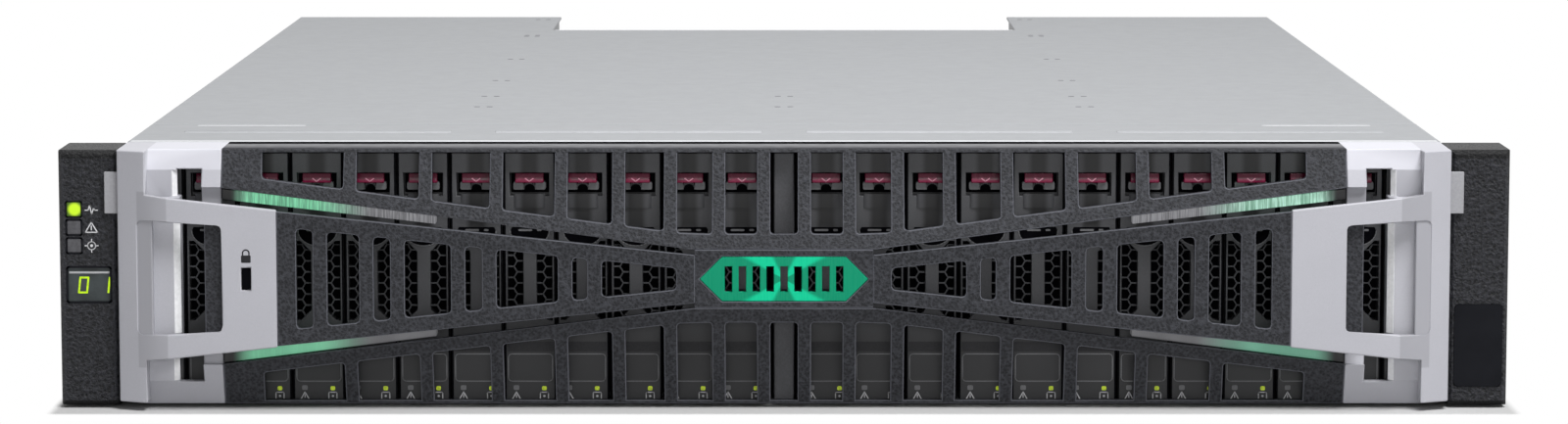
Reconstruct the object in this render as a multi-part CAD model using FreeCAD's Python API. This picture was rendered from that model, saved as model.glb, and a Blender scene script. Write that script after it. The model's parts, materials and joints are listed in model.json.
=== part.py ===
"""Two-unit rack storage array: drive bays, lift-off bow-tie bezel, canisters and power modules.

Millimetres. +X is right seen from the front, the front faces -Y, +Z is up.
While modelling, y is counted from the front plane of the rack flanges; save() then moves
every piece so that the origin is under the middle of the whole part.
"""
import FreeCAD, Part
import math
import os

# Chassis sheet metal
CHASSIS_H = 87.0
CHASSIS_L = 577.0
SHEET = 1.2
PANEL_L = 61.0
NOTCH_IN = 1.0
NOTCH_L = 78.0
BEAD_H = 0.5
BEAD_W = 2.2
BEAD_BACK = 34.0
BEAD_BREAK = 15.0
BEAD_SIDE = 7.5

# Rack flanges
RACK_W = 482.6
EAR_W = 19.8
FLANGE_T = 2.0
FLANGE_LEG = 40.0
BOLT_IN = 8.75
BOLT_EDGE = 5.4
BOLT_R = 3.4

# Clearances
FIT = 0.1
GAP = 0.3
SLIDE_GAP = 0.6
RUN_GAP = 0.05

# Ear covers
EAR_REACH = 25.0
EAR_WALL = 2.0
EAR_EDGE = 1.4
EAR_LOW = 1.0
LENS = 4.9
LENS_PITCH = 6.1
LENS_IN = 5.1
LENS_DOWN = 20.1
LENS_DEPTH = 5.0
DISPLAY_W = 14.4
DISPLAY_H = 11.7
DISPLAY_DOWN = 45.4
DISPLAY_SINK = 0.8
PLATE_W = 16.2
PLATE_H = 27.8
PLATE_Z = 21.2
PLATE_T = 1.0
PLATE_SINK = 0.7
BOARD_T = 1.6

# Drive bays, two groups either side of the centre divider
BAYS = 12
BAY_SIDE = 2.5
DIVIDER_W = 10.3
DIVIDER_NOSE = 6.6
CARRIER_GAP = 0.6
CARRIER_LOW = 2.4
CARRIER_DOWN = 3.0
FACE_Y = -19.5
FACE_T = 9.0
FACE_LOW = 1.4
FACE_DOWN = 1.8
RAIL_T = 0.8
DRIVE_L = 100.0
DRIVE_DOWN = 6.5
DRIVE_ROOM = 0.335
DRIVE_Z = 7.5
VENT_LOW = 28.9
VENT_DOWN = 29.6
VENT_SPREAD = 3.6
VENT_BAR = 4.5
FACE_RIM = 1.1
LATCH_DOWN = 6.7
LATCH_H = 7.7
LATCH_SIDE = 2.0
LATCH_DEPTH = 4.5
BUTTON_H = 3.2
BUTTON_SIDE = 1.8
BUTTON_PROUD = 0.6
GUIDE_T = 0.8
GUIDE_FIN = 0.5
GUIDE_FIN_H = 4.5

# Midplane
MIDPLANE_T = 3.2
SOCKET_L = 8.0
SOCKET_W = 6.0
SOCKET_H = 42.0
MID_VENT_W = 26.0
MID_VENT_H = 14.0

# Bezel
BEZEL_SIDE = 0.2
BEZEL_GROUND = 2.8
LOW_MORE = 1.5
BEZEL_REACH = 36.0
BEZEL_LIP_Y = -24.0
BEZEL_SKIN = 2.4
BEZEL_LIP = 1.2
BEZEL_BACK = -0.3
SECTION_IN = 34.5
SLOT_HUB_X = 29.9
SLOT_HUB_H = 9.8
SLOT_END_H = 29.5
WING_IN = 53.5
WING_HUB_H = 8.05
WING_END_H = 22.5
WINDOW_BAR = 4.5
WINDOW_RIM = 4.7
WINDOW_FLOOR = 14.8
WINDOW_ROUND = 1.0
SECTION_RIM = 13.6
SECTION_WINDOWS = (9.0, 10.4, 11.5, 12.7, 14.6, 17.0, 19.0, 20.6, 26.9)
WING_WINDOWS = (5.4, 10.5, 5.4, 15.2, 5.5, 20.2, 4.9, 24.6)
WING_WINDOW_IN = 60.0
WING_HUB_RIM = 6.15
WING_BAR = 4.85
WING_RIM = 5.1
WING_ROUND = 1.3
WING_FLANGE_IN = 29.4
HUB_W = 59.0
HUB_DEPTH = 9.0
HUB_SEAT_W = 56.0
HUB_SEAT_H = 15.0
HUB_SEAT_RIM = 3.0
HUB_SLOTS = 9
HUB_SLOT_W = 2.4
HUB_SLOT_PITCH = 4.6
HUB_INSERT_T = 1.6
BAR_H_OUT = 3.6
BAR_H_IN = 2.9
BAR_L = 71.1
BAR_DEPTH = 6.0

# End castings and grips of the bezel
CAST_EDGE_Y = -28.2
CAST_CREASE_IN = 6.9
CAST_CREASE_Y = -31.5
CAST_STRIP_IN = 9.8
GRIP_OUT_IN = 17.3
GRIP_OUT_H = 26.9
GRIP_IN_H = 22.9
GRIP_HOLE_OUT_H = 19.3
GRIP_HOLE_IN_H = 17.8
GRIP_HOLE_IN = 35.3
GRIP_HOLE_ROUND = 1.5
CAST_WELL_IN = 18.8
CAST_WELL_Y = -29.5
CAST_SIDE_T = 1.6
CAST_BEAD = 2.0
CAST_STEP_DOWN = 6.7
CAST_WINDOW_NEAR = 27.9
CAST_WINDOW_FAR = 19.7
CAST_WINDOW_DOWN = 6.5
LOCK_IN = 43.4
LOCK_W = 3.2
LOCK_H = 7.4

# Release tabs of the bezel
TAB_OUT = 4.5
TAB_DOWN = 7.4
TAB_H = 14.0
TAB_T = 1.2
TAB_STEM = 4.5
TAB_TRAVEL = 3.0

# Rear bays
CANISTER_WALL = 1.0
CANISTER_FRONT = 10.0
POWER_L = 318.0
POWER_W = 113.1
POWER_WALL = 1.2
POWER_SIDE = 2.4

# Canister rear face
SFP_W = 14.0
SFP_H = 9.6
SFP_L = 46.0
SFP_PITCH = 17.5
SFP_X = -46.0
RJ_W = 12.6
RJ_H = 11.2
RJ_L = 15.0
RJ_X = 34.0
SAS_W = 25.0
SAS_H = 9.0
SAS_L = 24.0
SAS_X = 60.0
PORT_WALL = 0.8
PORT_Z = 25.0
CANISTER_BOARD_Z = 6.0
SINK_W = 60.0
SINK_L = 80.0
SINK_H = 14.0
SINK_FINS = 8
LEVER_L = 44.0
LEVER_H = 7.0
LEVER_T = 4.0
LEVER_Z = 10.0
LEVER_PIN_IN = 10.4
LEVER_PIN_R = 1.5
LEVER_LUG_T = 2.0
LEVER_STAND = 4.5

# Power module rear face
FAN_R = 34.0
FAN_HUB_R = 14.0
FAN_DEPTH = 24.0
FAN_BLADES = 7
FAN_POST_R = 2.0
FAN_TIP_GAP = 1.5
FAN_IN = 41.0
GUARD_T = 1.0
GUARD_CELL = 11.6
GUARD_BAR = 2.0
GUARD_MARGIN = 2.0
INLET_W = 27.0
INLET_H = 20.0
INLET_L = 22.0
INLET_WALL = 2.0
INLET_Z = 58.0
PRONG_W = 4.0
PRONG_T = 2.0
PRONG_L = 14.0
SWITCH_W = 13.0
SWITCH_H = 20.0
SWITCH_Z = 26.0
SWITCH_WALL = 1.6
SWITCH_TILT = 9.0
SWITCH_PIN_R = 1.2
SWITCH_DEPTH = 7.0
COLUMN_IN = 17.5
HANDLE_REACH = 26.0
HANDLE_BAR = 8.0
HANDLE_ARM_T = 4.0
HANDLE_PIN_R = 2.0
HANDLE_PIN_Y = 7.0
HANDLE_PIN_Z = 9.0
HANDLE_DOWN = 7.5
HANDLE_LUG_T = 3.0
HANDLE_HALF = 30.0
BLADE_CHORD = 18.0
BLADE_T = 1.4
BLADE_TILT = 40.0
SPIDER_T = 2.0
SPIDER_W = 7.0

# Flats that stand for a full circle on parts that no shaft runs in
ROUND_SIDES = 24
HUB_SIDES = 16
BAR_SIDES = 8

# Worked out from the sizes above
CHASSIS_W = RACK_W - 2 * EAR_W
HALF_W = CHASSIS_W / 2
INNER_W = HALF_W - SHEET
COVER_UNDER = CHASSIS_H - SHEET
BEAD_PITCH = (CHASSIS_W - 2 * BEAD_SIDE) / 4
BEAD_L = BEAD_PITCH - BEAD_BREAK
BOLT_ROW = RACK_W - 2 * BOLT_IN
BOLT_RISE = CHASSIS_H - 2 * BOLT_EDGE
PART_REAR = CHASSIS_L + HANDLE_REACH
FRAME_Y = (PART_REAR - BEZEL_REACH) / 2

BEZEL_H = CHASSIS_H - BEZEL_GROUND
HALF_H = BEZEL_H / 2
HALF_LOW = HALF_H + LOW_MORE
BEZEL_MID = BEZEL_GROUND + HALF_H
BEZEL_TOP = BEZEL_MID + HALF_H
BEZEL_LOW = BEZEL_MID - HALF_H
HALF_BEZEL = HALF_W - BEZEL_SIDE
FRONT_Y = -BEZEL_REACH
LOW_LIP_BACK = FACE_Y - BUTTON_PROUD - GAP
SLOPE = (FRONT_Y - BEZEL_LIP_Y) / (HALF_H - SLOT_HUB_H)
SECTION_END = HALF_BEZEL - SECTION_IN
WING_END = HALF_BEZEL - WING_IN
SLOT_RISE = (SLOT_END_H - SLOT_HUB_H) / (SECTION_END - SLOT_HUB_X)
WING_RISE = (WING_END_H - WING_HUB_H) / (WING_END - SLOT_HUB_X)
WING_WINDOW_START = HALF_BEZEL - WING_WINDOW_IN
WING_FLANGE_END = HALF_BEZEL - WING_FLANGE_IN
BAR_END = SECTION_END - BAR_L
CAST_CREASE_X = HALF_BEZEL - CAST_CREASE_IN
CAST_STRIP_X = HALF_BEZEL - CAST_STRIP_IN
GRIP_OUT_X = HALF_BEZEL - GRIP_OUT_IN
GRIP_HOLE_IN_X = HALF_BEZEL - GRIP_HOLE_IN
CAST_WELL_X = HALF_BEZEL - CAST_WELL_IN
CAST_STEP_Z = HALF_H - CAST_STEP_DOWN
CAST_WINDOW_IN = HALF_BEZEL - CAST_WINDOW_NEAR
CAST_WINDOW_OUT = HALF_BEZEL - CAST_WINDOW_FAR
CAST_WINDOW_TOP = HALF_H - CAST_WINDOW_DOWN
LOCK_X = HALF_BEZEL - LOCK_IN
TAB_HIGH = CHASSIS_H - TAB_DOWN
TAB_LOW = TAB_HIGH - TAB_H

EAR_X0 = HALF_BEZEL + GAP
EAR_X1 = RACK_W / 2
EAR_MID_X = (EAR_X0 + EAR_X1) / 2
EAR_TOP = CHASSIS_H - GAP
LENS_Z = CHASSIS_H - LENS_DOWN
DISPLAY_Z = CHASSIS_H - DISPLAY_DOWN

BAY_PITCH = (INNER_W - BAY_SIDE - DIVIDER_W / 2) / BAYS
CARRIER_W = BAY_PITCH - CARRIER_GAP
CARRIER_HIGH = CHASSIS_H - CARRIER_DOWN
DRIVE_W = CARRIER_W - 2 * RAIL_T - 2 * DRIVE_ROOM
DRIVE_H = CARRIER_HIGH - DRIVE_DOWN - DRIVE_Z
DRIVE_Y = FACE_Y + FACE_T + 2 * GAP
FACE_HIGH = CHASSIS_H - FACE_DOWN
VENT_HIGH = FACE_HIGH - VENT_DOWN
LATCH_HIGH = FACE_HIGH - LATCH_DOWN
LATCH_LOW = LATCH_HIGH - LATCH_H
LATCH_W = CARRIER_W - 2 * LATCH_SIDE
BUTTON_W = LATCH_W - 2 * BUTTON_SIDE
MIDPLANE_Y = DRIVE_Y + DRIVE_L + SOCKET_L + GAP
BAY_BACK = MIDPLANE_Y + MIDPLANE_T

POWER_X1 = INNER_W - POWER_SIDE
POWER_X0 = POWER_X1 - POWER_W
POWER_LOW = SHEET + GAP
POWER_HIGH = COVER_UNDER - GAP
POWER_Y = CHASSIS_L - POWER_L
FAN_X = POWER_X1 - FAN_IN
FAN_Z = (POWER_LOW + POWER_HIGH) / 2
COLUMN_X = POWER_X0 + COLUMN_IN
HANDLE_TOP = POWER_HIGH - HANDLE_DOWN
BAY_WALL_X = POWER_X0 - SLIDE_GAP - SHEET
NOTCH_W = 2 * (BAY_WALL_X - NOTCH_IN)
CANISTER_REAR = CHASSIS_L - NOTCH_L
CANISTER_Y = BAY_BACK + CANISTER_FRONT
SHELF_Z = CHASSIS_H / 2 - SHEET / 2
CANISTER_HALF = BAY_WALL_X - SLIDE_GAP
CANISTER_H = SHELF_Z - SHEET - 2 * GAP
LEVER_PIN_X = CANISTER_HALF - LEVER_PIN_IN


def vec(x, y, z):
    return FreeCAD.Vector(x, y, z)


def box(x0, x1, y0, y1, z0, z1):
    return Part.makeBox(x1 - x0, y1 - y0, z1 - z0, vec(x0, y0, z0))


def prism(points, along):
    """A closed outline of 3D points, extruded by a vector."""
    wire = Part.makePolygon(points + [points[0]])
    return Part.Face(wire).extrude(along)


def prism_xz(points, y0, y1):
    return prism([vec(x, y0, z) for x, z in points], vec(0, y1 - y0, 0))


def prism_xy(points, z0, z1):
    return prism([vec(x, y, z0) for x, y in points], vec(0, 0, z1 - z0))


def prism_yz(points, x0, x1):
    return prism([vec(x0, y, z) for y, z in points], vec(x1 - x0, 0, 0))


def rounded_prism_xz(points, radius, y0, y1, first=None):
    """An outline in XZ with its first corners, or all, eased, extruded from y0 to y1."""
    return prism_xz(soft_corners(points, radius, first or len(points)), y0, y1)


def soft_corners(points, radius, first):
    """An outline whose first corners are each replaced by two short flats along an arc."""
    eased = []
    for index, (x, z) in enumerate(points):
        if index >= first:
            eased.append((x, z))
            continue
        after = points[(index + 1) % len(points)]
        corner = vec(x, 0, z)
        to_last = (vec(points[index - 1][0], 0, points[index - 1][1]) - corner).normalize()
        to_next = (vec(after[0], 0, after[1]) - corner).normalize()
        half = to_last.getAngle(to_next) / 2
        run = radius / math.tan(half)
        inward = (to_last + to_next).normalize()
        middle = corner + inward * (radius / math.sin(half) - radius)
        for point in (corner + to_last * run, middle, corner + to_next * run):
            eased.append((point.x, point.z))
    return eased


def flats(u, v, radius, sides):
    """A regular outline with its flats at the radius."""
    reach = radius / math.cos(math.pi / sides)
    turns = [math.pi * (2 * index + 1) / sides for index in range(sides)]
    return [(u + reach * math.cos(turn), v + reach * math.sin(turn)) for turn in turns]


def rod(x, y, z, radius, length, axis):
    return Part.makeCylinder(radius, length, vec(x, y, z), axis)


def rod_x(x0, x1, y, z, radius):
    return rod(x0, y, z, radius, x1 - x0, vec(1, 0, 0))


def rod_y(x, y0, y1, z, radius):
    return rod(x, y0, z, radius, y1 - y0, vec(0, 1, 0))


def rod_z(x, y, z0, z1, radius):
    return rod(x, y, z0, radius, z1 - z0, vec(0, 0, 1))


def fuse(shapes):
    whole = shapes[0].multiFuse(shapes[1:]) if len(shapes) > 1 else shapes[0]
    return whole.removeSplitter()


def mirror_x(shape):
    return shape.mirror(vec(0, 0, 0), vec(1, 0, 0))


def mirror_mid(shape):
    """Mirror about the bezel's middle height."""
    return shape.mirror(vec(0, 0, BEZEL_MID), vec(0, 0, 1))


def save(node, shapes):
    """Write one node, with all its separate solids, to its own file."""
    solids = [solid for shape in shapes for solid in shape.Solids]
    for solid in solids:
        if not solid.isValid():
            raise ValueError(node + " has a bad solid")
        solid.translate(vec(0, -FRAME_Y, 0))
    whole = solids[0] if len(solids) == 1 else Part.makeCompound(solids)
    whole.exportStep("parts/" + node + ".step")


def save_pair(stem, right):
    """Write a right-hand piece and its mirror image."""
    save(stem + "_left", [mirror_x(shape) for shape in right])
    save(stem + "_right", right)


def bay_centres():
    """The x of each drive, outwards from the divider on both sides."""
    first = DIVIDER_W / 2 + BAY_PITCH / 2
    right = [first + BAY_PITCH * index for index in range(BAYS)]
    return [-x for x in reversed(right)] + right


# Chassis sheet metal

def chassis_tray():
    bottom = box(-HALF_W, HALF_W, FLANGE_T, CHASSIS_L, 0, SHEET)
    side = box(INNER_W, HALF_W, FLANGE_LEG, CHASSIS_L, SHEET, COVER_UNDER)
    save("chassis_tray", [fuse([bottom, side, mirror_x(side)])])


def front_panel():
    """The fixed strip over the drives, with four raised beads and a turned-down front edge."""
    sheet = box(-HALF_W, HALF_W, 0, PANEL_L, COVER_UNDER, CHASSIS_H)
    pieces = [sheet]
    for index in range(4):
        middle = BEAD_PITCH * (index - 1.5)
        low = [(BEAD_BACK - BEAD_W / 2, CHASSIS_H), (BEAD_BACK + BEAD_W / 2, CHASSIS_H)]
        crest = [(BEAD_BACK + BEAD_W / 4, CHASSIS_H + BEAD_H), (BEAD_BACK - BEAD_W / 4, CHASSIS_H + BEAD_H)]
        pieces.append(prism_yz(low + crest, middle - BEAD_L / 2, middle + BEAD_L / 2))
    save("front_panel", [fuse(pieces)])


def top_cover():
    sheet = box(-HALF_W, HALF_W, PANEL_L, CHASSIS_L, COVER_UNDER, CHASSIS_H)
    notch = box(-NOTCH_W / 2, NOTCH_W / 2, CANISTER_REAR, CHASSIS_L, COVER_UNDER, CHASSIS_H)
    save("top_cover", [sheet.cut(notch)])


def rack_flanges():
    """Angle brackets whose legs carry on the side walls to the front."""
    leg = box(INNER_W, HALF_W, FLANGE_T, FLANGE_LEG, SHEET, COVER_UNDER)
    plate = box(INNER_W, EAR_X1, 0, FLANGE_T, EAR_LOW, COVER_UNDER)
    bolts = []
    for side in (-1, 1):
        bolts.append(rod_y(BOLT_ROW / 2, 0, FLANGE_T, CHASSIS_H / 2 + side * BOLT_RISE / 2, BOLT_R))
    save_pair("rack_flange", [fuse([leg, plate.cut(Part.makeCompound(bolts))])])


# Ear covers

def ear_shell():
    """A cap with rounded front edges, open at the back where it clips over the flange."""
    outer = box(EAR_X0, EAR_X1, -EAR_REACH, 0, EAR_LOW, EAR_TOP)
    front = [edge for edge in outer.Edges if abs(edge.CenterOfMass.y + EAR_REACH) < GAP]
    outer = outer.makeChamfer(EAR_EDGE, front)
    hollow = box(EAR_X0 + EAR_WALL, EAR_X1 - EAR_WALL, EAR_WALL - EAR_REACH, 0,
                 EAR_LOW + EAR_WALL, EAR_TOP - EAR_WALL)
    return outer.cut(hollow)


def square_hole(x, z, width, height, y0, y1):
    return box(x - width / 2, x + width / 2, y0, y1, z - height / 2, z + height / 2)


def lens_heights():
    return [LENS_Z - LENS_PITCH * index for index in range(3)]


def ears():
    lens_x = EAR_X1 - LENS_IN
    through = (-EAR_REACH, EAR_WALL - EAR_REACH)
    holes = [square_hole(lens_x, z, LENS, LENS, *through) for z in lens_heights()]
    holes.append(square_hole(EAR_MID_X, DISPLAY_Z, DISPLAY_W, DISPLAY_H, *through))
    left = ear_shell().cut(Part.makeCompound(holes))
    save("ear_cover_left", [mirror_x(left)])
    seat = square_hole(EAR_MID_X, PLATE_Z, PLATE_W, PLATE_H, -EAR_REACH, PLATE_SINK - EAR_REACH)
    save("ear_cover_right", [ear_shell().cut(seat)])
    plate_face = PLATE_SINK - EAR_REACH - PLATE_T
    plate = square_hole(EAR_MID_X, PLATE_Z, PLATE_W - 2 * FIT, PLATE_H - 2 * FIT,
                        plate_face, plate_face + PLATE_T)
    save("blank_plate", [plate])


def ear_electronics():
    lens_x = EAR_X1 - LENS_IN
    board_y = LENS_DEPTH - EAR_REACH
    lens = LENS - 2 * FIT
    lenses = [square_hole(lens_x, z, lens, lens, -EAR_REACH, board_y) for z in lens_heights()]
    save("status_lenses", [mirror_x(shape) for shape in lenses])
    window = square_hole(EAR_MID_X, DISPLAY_Z, DISPLAY_W - 2 * FIT, DISPLAY_H - 2 * FIT,
                         DISPLAY_SINK - EAR_REACH, board_y)
    save("display_window", [mirror_x(window)])
    board = box(EAR_X0 + EAR_WALL + GAP, EAR_X1 - EAR_WALL - GAP, board_y, board_y + BOARD_T,
                DISPLAY_Z - DISPLAY_H, LENS_Z + LENS)
    save("ear_board", [mirror_x(board)])


# Drive bays

def drive_lever(x):
    """The swing-out front of one carrier: vent with a Y-ended bar, and the latch recess."""
    half = CARRIER_W / 2
    body = box(x - half, x + half, FACE_Y, FACE_Y + FACE_T, FACE_LOW, FACE_HIGH)
    rim = half - FACE_RIM
    bar = VENT_BAR / 2
    cuts = []
    for side in (-1, 1):
        outline = [(rim, VENT_LOW), (rim, VENT_HIGH), (bar + VENT_SPREAD, VENT_HIGH),
                   (bar, VENT_HIGH - VENT_SPREAD), (bar, VENT_LOW + VENT_SPREAD),
                   (bar + VENT_SPREAD, VENT_LOW)]
        cuts.append(prism_xz([(x + side * u, z) for u, z in outline], FACE_Y, FACE_Y + FACE_T))
    cuts.append(box(x - LATCH_W / 2, x + LATCH_W / 2, FACE_Y, FACE_Y + LATCH_DEPTH, LATCH_LOW, LATCH_HIGH))
    return body.cut(Part.makeCompound(cuts))


def release_button(x):
    """A thumb button with a sloping front, hung under the top of the latch recess."""
    top = LATCH_HIGH - FIT
    front = FACE_Y - BUTTON_PROUD
    back = FACE_Y + LATCH_DEPTH
    under = top - BUTTON_H
    outline = [(front + BUTTON_PROUD, top), (front, top - BUTTON_H / 2), (front, under),
               (back, under), (back, top)]
    return prism_yz(outline, x - BUTTON_W / 2, x + BUTTON_W / 2)


def drive_carrier(x):
    """Two rails joined by a cross plate behind the lever, round the drive itself."""
    half = CARRIER_W / 2
    start = FACE_Y + FACE_T
    end = DRIVE_Y + DRIVE_L
    rail = box(half - RAIL_T, half, start, end, CARRIER_LOW, CARRIER_HIGH)
    foot = box(-half, half, start, end, CARRIER_LOW, DRIVE_Z - GAP)
    shape = fuse([rail, mirror_x(rail), foot])
    shape.translate(vec(x, 0, 0))
    return shape


def drive_module(x):
    return box(x - DRIVE_W / 2, x + DRIVE_W / 2, DRIVE_Y, DRIVE_Y + DRIVE_L, DRIVE_Z, DRIVE_Z + DRIVE_H)


def drives():
    places = bay_centres()
    save("drive_levers", [drive_lever(x) for x in places])
    save("release_buttons", [release_button(x) for x in places])
    save("drive_carriers", [drive_carrier(x) for x in places])
    save("drive_modules", [drive_module(x) for x in places])


def drive_guides():
    """A finned plate over and under the carriers; the fins run between neighbours."""
    start = FLANGE_T
    end = MIDPLANE_Y
    edge = INNER_W - GAP
    for name, base, sense in (("guide_lower", SHEET, 1), ("guide_upper", COVER_UNDER, -1)):
        span = sorted((base, base + sense * GUIDE_T))
        tall = sorted((base, base + sense * (GUIDE_T + GUIDE_FIN_H)))
        plate = box(DIVIDER_W / 2, edge, start, end, *span)
        fins = []
        for index in range(1, BAYS):
            x = DIVIDER_W / 2 + BAY_PITCH * index
            fins.append(box(x - GUIDE_FIN / 2, x + GUIDE_FIN / 2, start, end, *tall))
        half = fuse([plate] + fins)
        save_pair(name, [half])


def centre_divider():
    """A folded post between the two groups of drives, narrower at its nose."""
    half = DIVIDER_W / 2 - GAP
    nose = DIVIDER_NOSE / 2
    outline = [(-nose, FACE_Y), (nose, FACE_Y), (half, 0), (-half, 0)]
    front = prism_xy(outline, FACE_LOW, FACE_HIGH)
    post = box(-half, half, 0, MIDPLANE_Y, SHEET, COVER_UNDER)
    save("centre_divider", [fuse([front, post])])


def midplane():
    board = box(-INNER_W + GAP, INNER_W - GAP, MIDPLANE_Y, BAY_BACK, SHEET, COVER_UNDER)
    vents = []
    for side in (-1, 1):
        for x in (BAY_WALL_X / 2, (POWER_X0 + POWER_X1) / 2):
            for z in (CHASSIS_H / 4, CHASSIS_H * 3 / 4):
                vents.append(square_hole(side * x, z, MID_VENT_W, MID_VENT_H, MIDPLANE_Y, BAY_BACK))
    save("midplane_board", [board.cut(Part.makeCompound(vents))])
    sockets = [square_hole(x, CHASSIS_H / 2, SOCKET_W, SOCKET_H, MIDPLANE_Y - SOCKET_L, MIDPLANE_Y)
               for x in bay_centres()]
    save("drive_sockets", sockets)
    plugs = [square_hole(0, z, SINK_W, SOCKET_W, BAY_BACK, CANISTER_Y - GAP)
             for z in (SHELF_Z / 2, CHASSIS_H - SHELF_Z / 2)]
    for side in (-1, 1):
        plugs.append(square_hole(side * FAN_X, FAN_Z, SINK_W, SOCKET_W, BAY_BACK, BAY_BACK + SOCKET_L))
    save("rear_sockets", plugs)


def rear_bays():
    wall = box(BAY_WALL_X, BAY_WALL_X + SHEET, BAY_BACK, CHASSIS_L, SHEET, COVER_UNDER)
    save_pair("bay_wall", [wall])
    shelf = box(-BAY_WALL_X, BAY_WALL_X, CANISTER_Y, CANISTER_REAR, SHELF_Z, SHELF_Z + SHEET)
    save("canister_shelf", [shelf])


# Bezel grille

def slope_y(height):
    """Front surface of the sloping sections at a height over the bezel's middle."""
    return BEZEL_LIP_Y + SLOPE * (HALF_H - height)


def slot_height(x):
    """Height over the middle of the sections' inner edge, which falls towards the hub."""
    return SLOT_HUB_H + SLOT_RISE * max(0, abs(x) - SLOT_HUB_X)


def wing_height(x):
    return WING_HUB_H + WING_RISE * (abs(x) - SLOT_HUB_X)


def window_floor(x):
    return max(WINDOW_FLOOR, slot_height(x) + WINDOW_RIM)


def section_windows():
    """Start and end of each window of a sloping section, for one side and the centre."""
    bars = WINDOW_BAR * (len(SECTION_WINDOWS) - 1)
    shares = SECTION_WINDOWS[0] / 2 + sum(SECTION_WINDOWS[1:])
    unit = (SECTION_END - SECTION_RIM - bars) / shares
    spans = [(-SECTION_WINDOWS[0] * unit / 2, SECTION_WINDOWS[0] * unit / 2)]
    start = SECTION_WINDOWS[0] * unit / 2
    for share in SECTION_WINDOWS[1:]:
        width = share * unit
        start += WINDOW_BAR
        spans.append((start, start + width))
        spans.append((-start - width, -start))
        start += width
    return spans


def grille_section(lip_back, half):
    """The upper section: a sloping plate under a top lip, its inner edge falling to the hub."""
    foot_y = slope_y(SLOT_HUB_H)
    foot_z = BEZEL_MID + SLOT_HUB_H
    top = BEZEL_MID + half
    lip_y = slope_y(half)
    under = top - BEZEL_LIP
    outline = [(lip_y, top), (foot_y, foot_z), (foot_y + BEZEL_SKIN, foot_z),
               (lip_y + BEZEL_SKIN, under), (lip_back, under), (lip_back, top)]
    body = prism_yz(outline, -SECTION_END, SECTION_END)
    end_z = BEZEL_MID + slot_height(SECTION_END)
    wedge = [(SLOT_HUB_X, foot_z), (SECTION_END, end_z), (SECTION_END, foot_z)]
    cuts = [prism_xz([(side * x, z) for x, z in wedge], FRONT_Y, 0) for side in (-1, 1)]
    for x0, x1 in section_windows():
        floor0 = BEZEL_MID + window_floor(x0)
        floor1 = BEZEL_MID + window_floor(x1)
        corners = [(x1, floor1), (x0, floor0), (x0, under), (x1, under)]
        cuts.append(rounded_prism_xz(corners, WINDOW_ROUND, FRONT_Y, 0, 2))
    return body.cut(Part.makeCompound(cuts))


def wing():
    """The right wing: a tapering flat grille with a mounting flange behind the grip."""
    back = FRONT_Y + BEZEL_SKIN
    start = HUB_W / 2
    ends = [(start, wing_height(start)), (WING_END, wing_height(WING_END))]
    outline = [(x, BEZEL_MID + h) for x, h in ends] + [(x, BEZEL_MID - h) for x, h in reversed(ends)]
    plate = prism_xz(outline, FRONT_Y, back)
    x1 = WING_WINDOW_START
    cuts = []
    bars = WING_BAR * (len(WING_WINDOWS) - 1)
    unit = (WING_WINDOW_START - start - WING_HUB_RIM - bars) / sum(WING_WINDOWS)
    for share in WING_WINDOWS:
        x0 = x1 - share * unit
        h0 = wing_height(x0) - WING_RIM
        h1 = wing_height(x1) - WING_RIM
        corners = [(x0, BEZEL_MID + h0), (x1, BEZEL_MID + h1), (x1, BEZEL_MID - h1), (x0, BEZEL_MID - h0)]
        cuts.append(rounded_prism_xz(corners, WING_ROUND, FRONT_Y, back))
        x1 = x0 - WING_BAR
    flange = box(WING_WINDOW_START + GAP, WING_FLANGE_END, back, back + BEZEL_SKIN,
                 BEZEL_MID - GRIP_IN_H + BEZEL_SKIN, BEZEL_MID + GRIP_IN_H - BEZEL_SKIN)
    return fuse([plate.cut(Part.makeCompound(cuts)), flange])


def long_hexagon(width, height):
    """An upright-sided outline pointed at both ends, round the hub's middle."""
    half = width / 2
    rise = height / 2
    flat = half - rise
    points = [(half, 0), (flat, rise), (-flat, rise), (-half, 0), (-flat, -rise), (flat, -rise)]
    return [(x, BEZEL_MID + z) for x, z in points]


def hub():
    back = FRONT_Y + HUB_DEPTH
    seat_y = FRONT_Y + HUB_INSERT_T
    frame = box(-HUB_W / 2, HUB_W / 2, FRONT_Y, back, BEZEL_MID - SLOT_HUB_H, BEZEL_MID + SLOT_HUB_H)
    seat = prism_xz(long_hexagon(HUB_SEAT_W, HUB_SEAT_H), FRONT_Y, seat_y)
    inner_h = HUB_SEAT_H - 2 * HUB_SEAT_RIM
    through = prism_xz(long_hexagon(HUB_SEAT_W - 3 * HUB_SEAT_RIM, inner_h), FRONT_Y, back)
    save("hub_frame", [frame.cut(Part.makeCompound([seat, through]))])
    plate = prism_xz(long_hexagon(HUB_SEAT_W - 2 * FIT, HUB_SEAT_H - 2 * FIT), FRONT_Y, seat_y)
    slots = []
    for index in range(HUB_SLOTS):
        x = HUB_SLOT_PITCH * (index - (HUB_SLOTS - 1) / 2)
        slots.append(square_hole(x, BEZEL_MID, HUB_SLOT_W, inner_h - 2 * GAP, FRONT_Y, seat_y))
    save("hub_insert", [plate.cut(Part.makeCompound(slots))])


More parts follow.
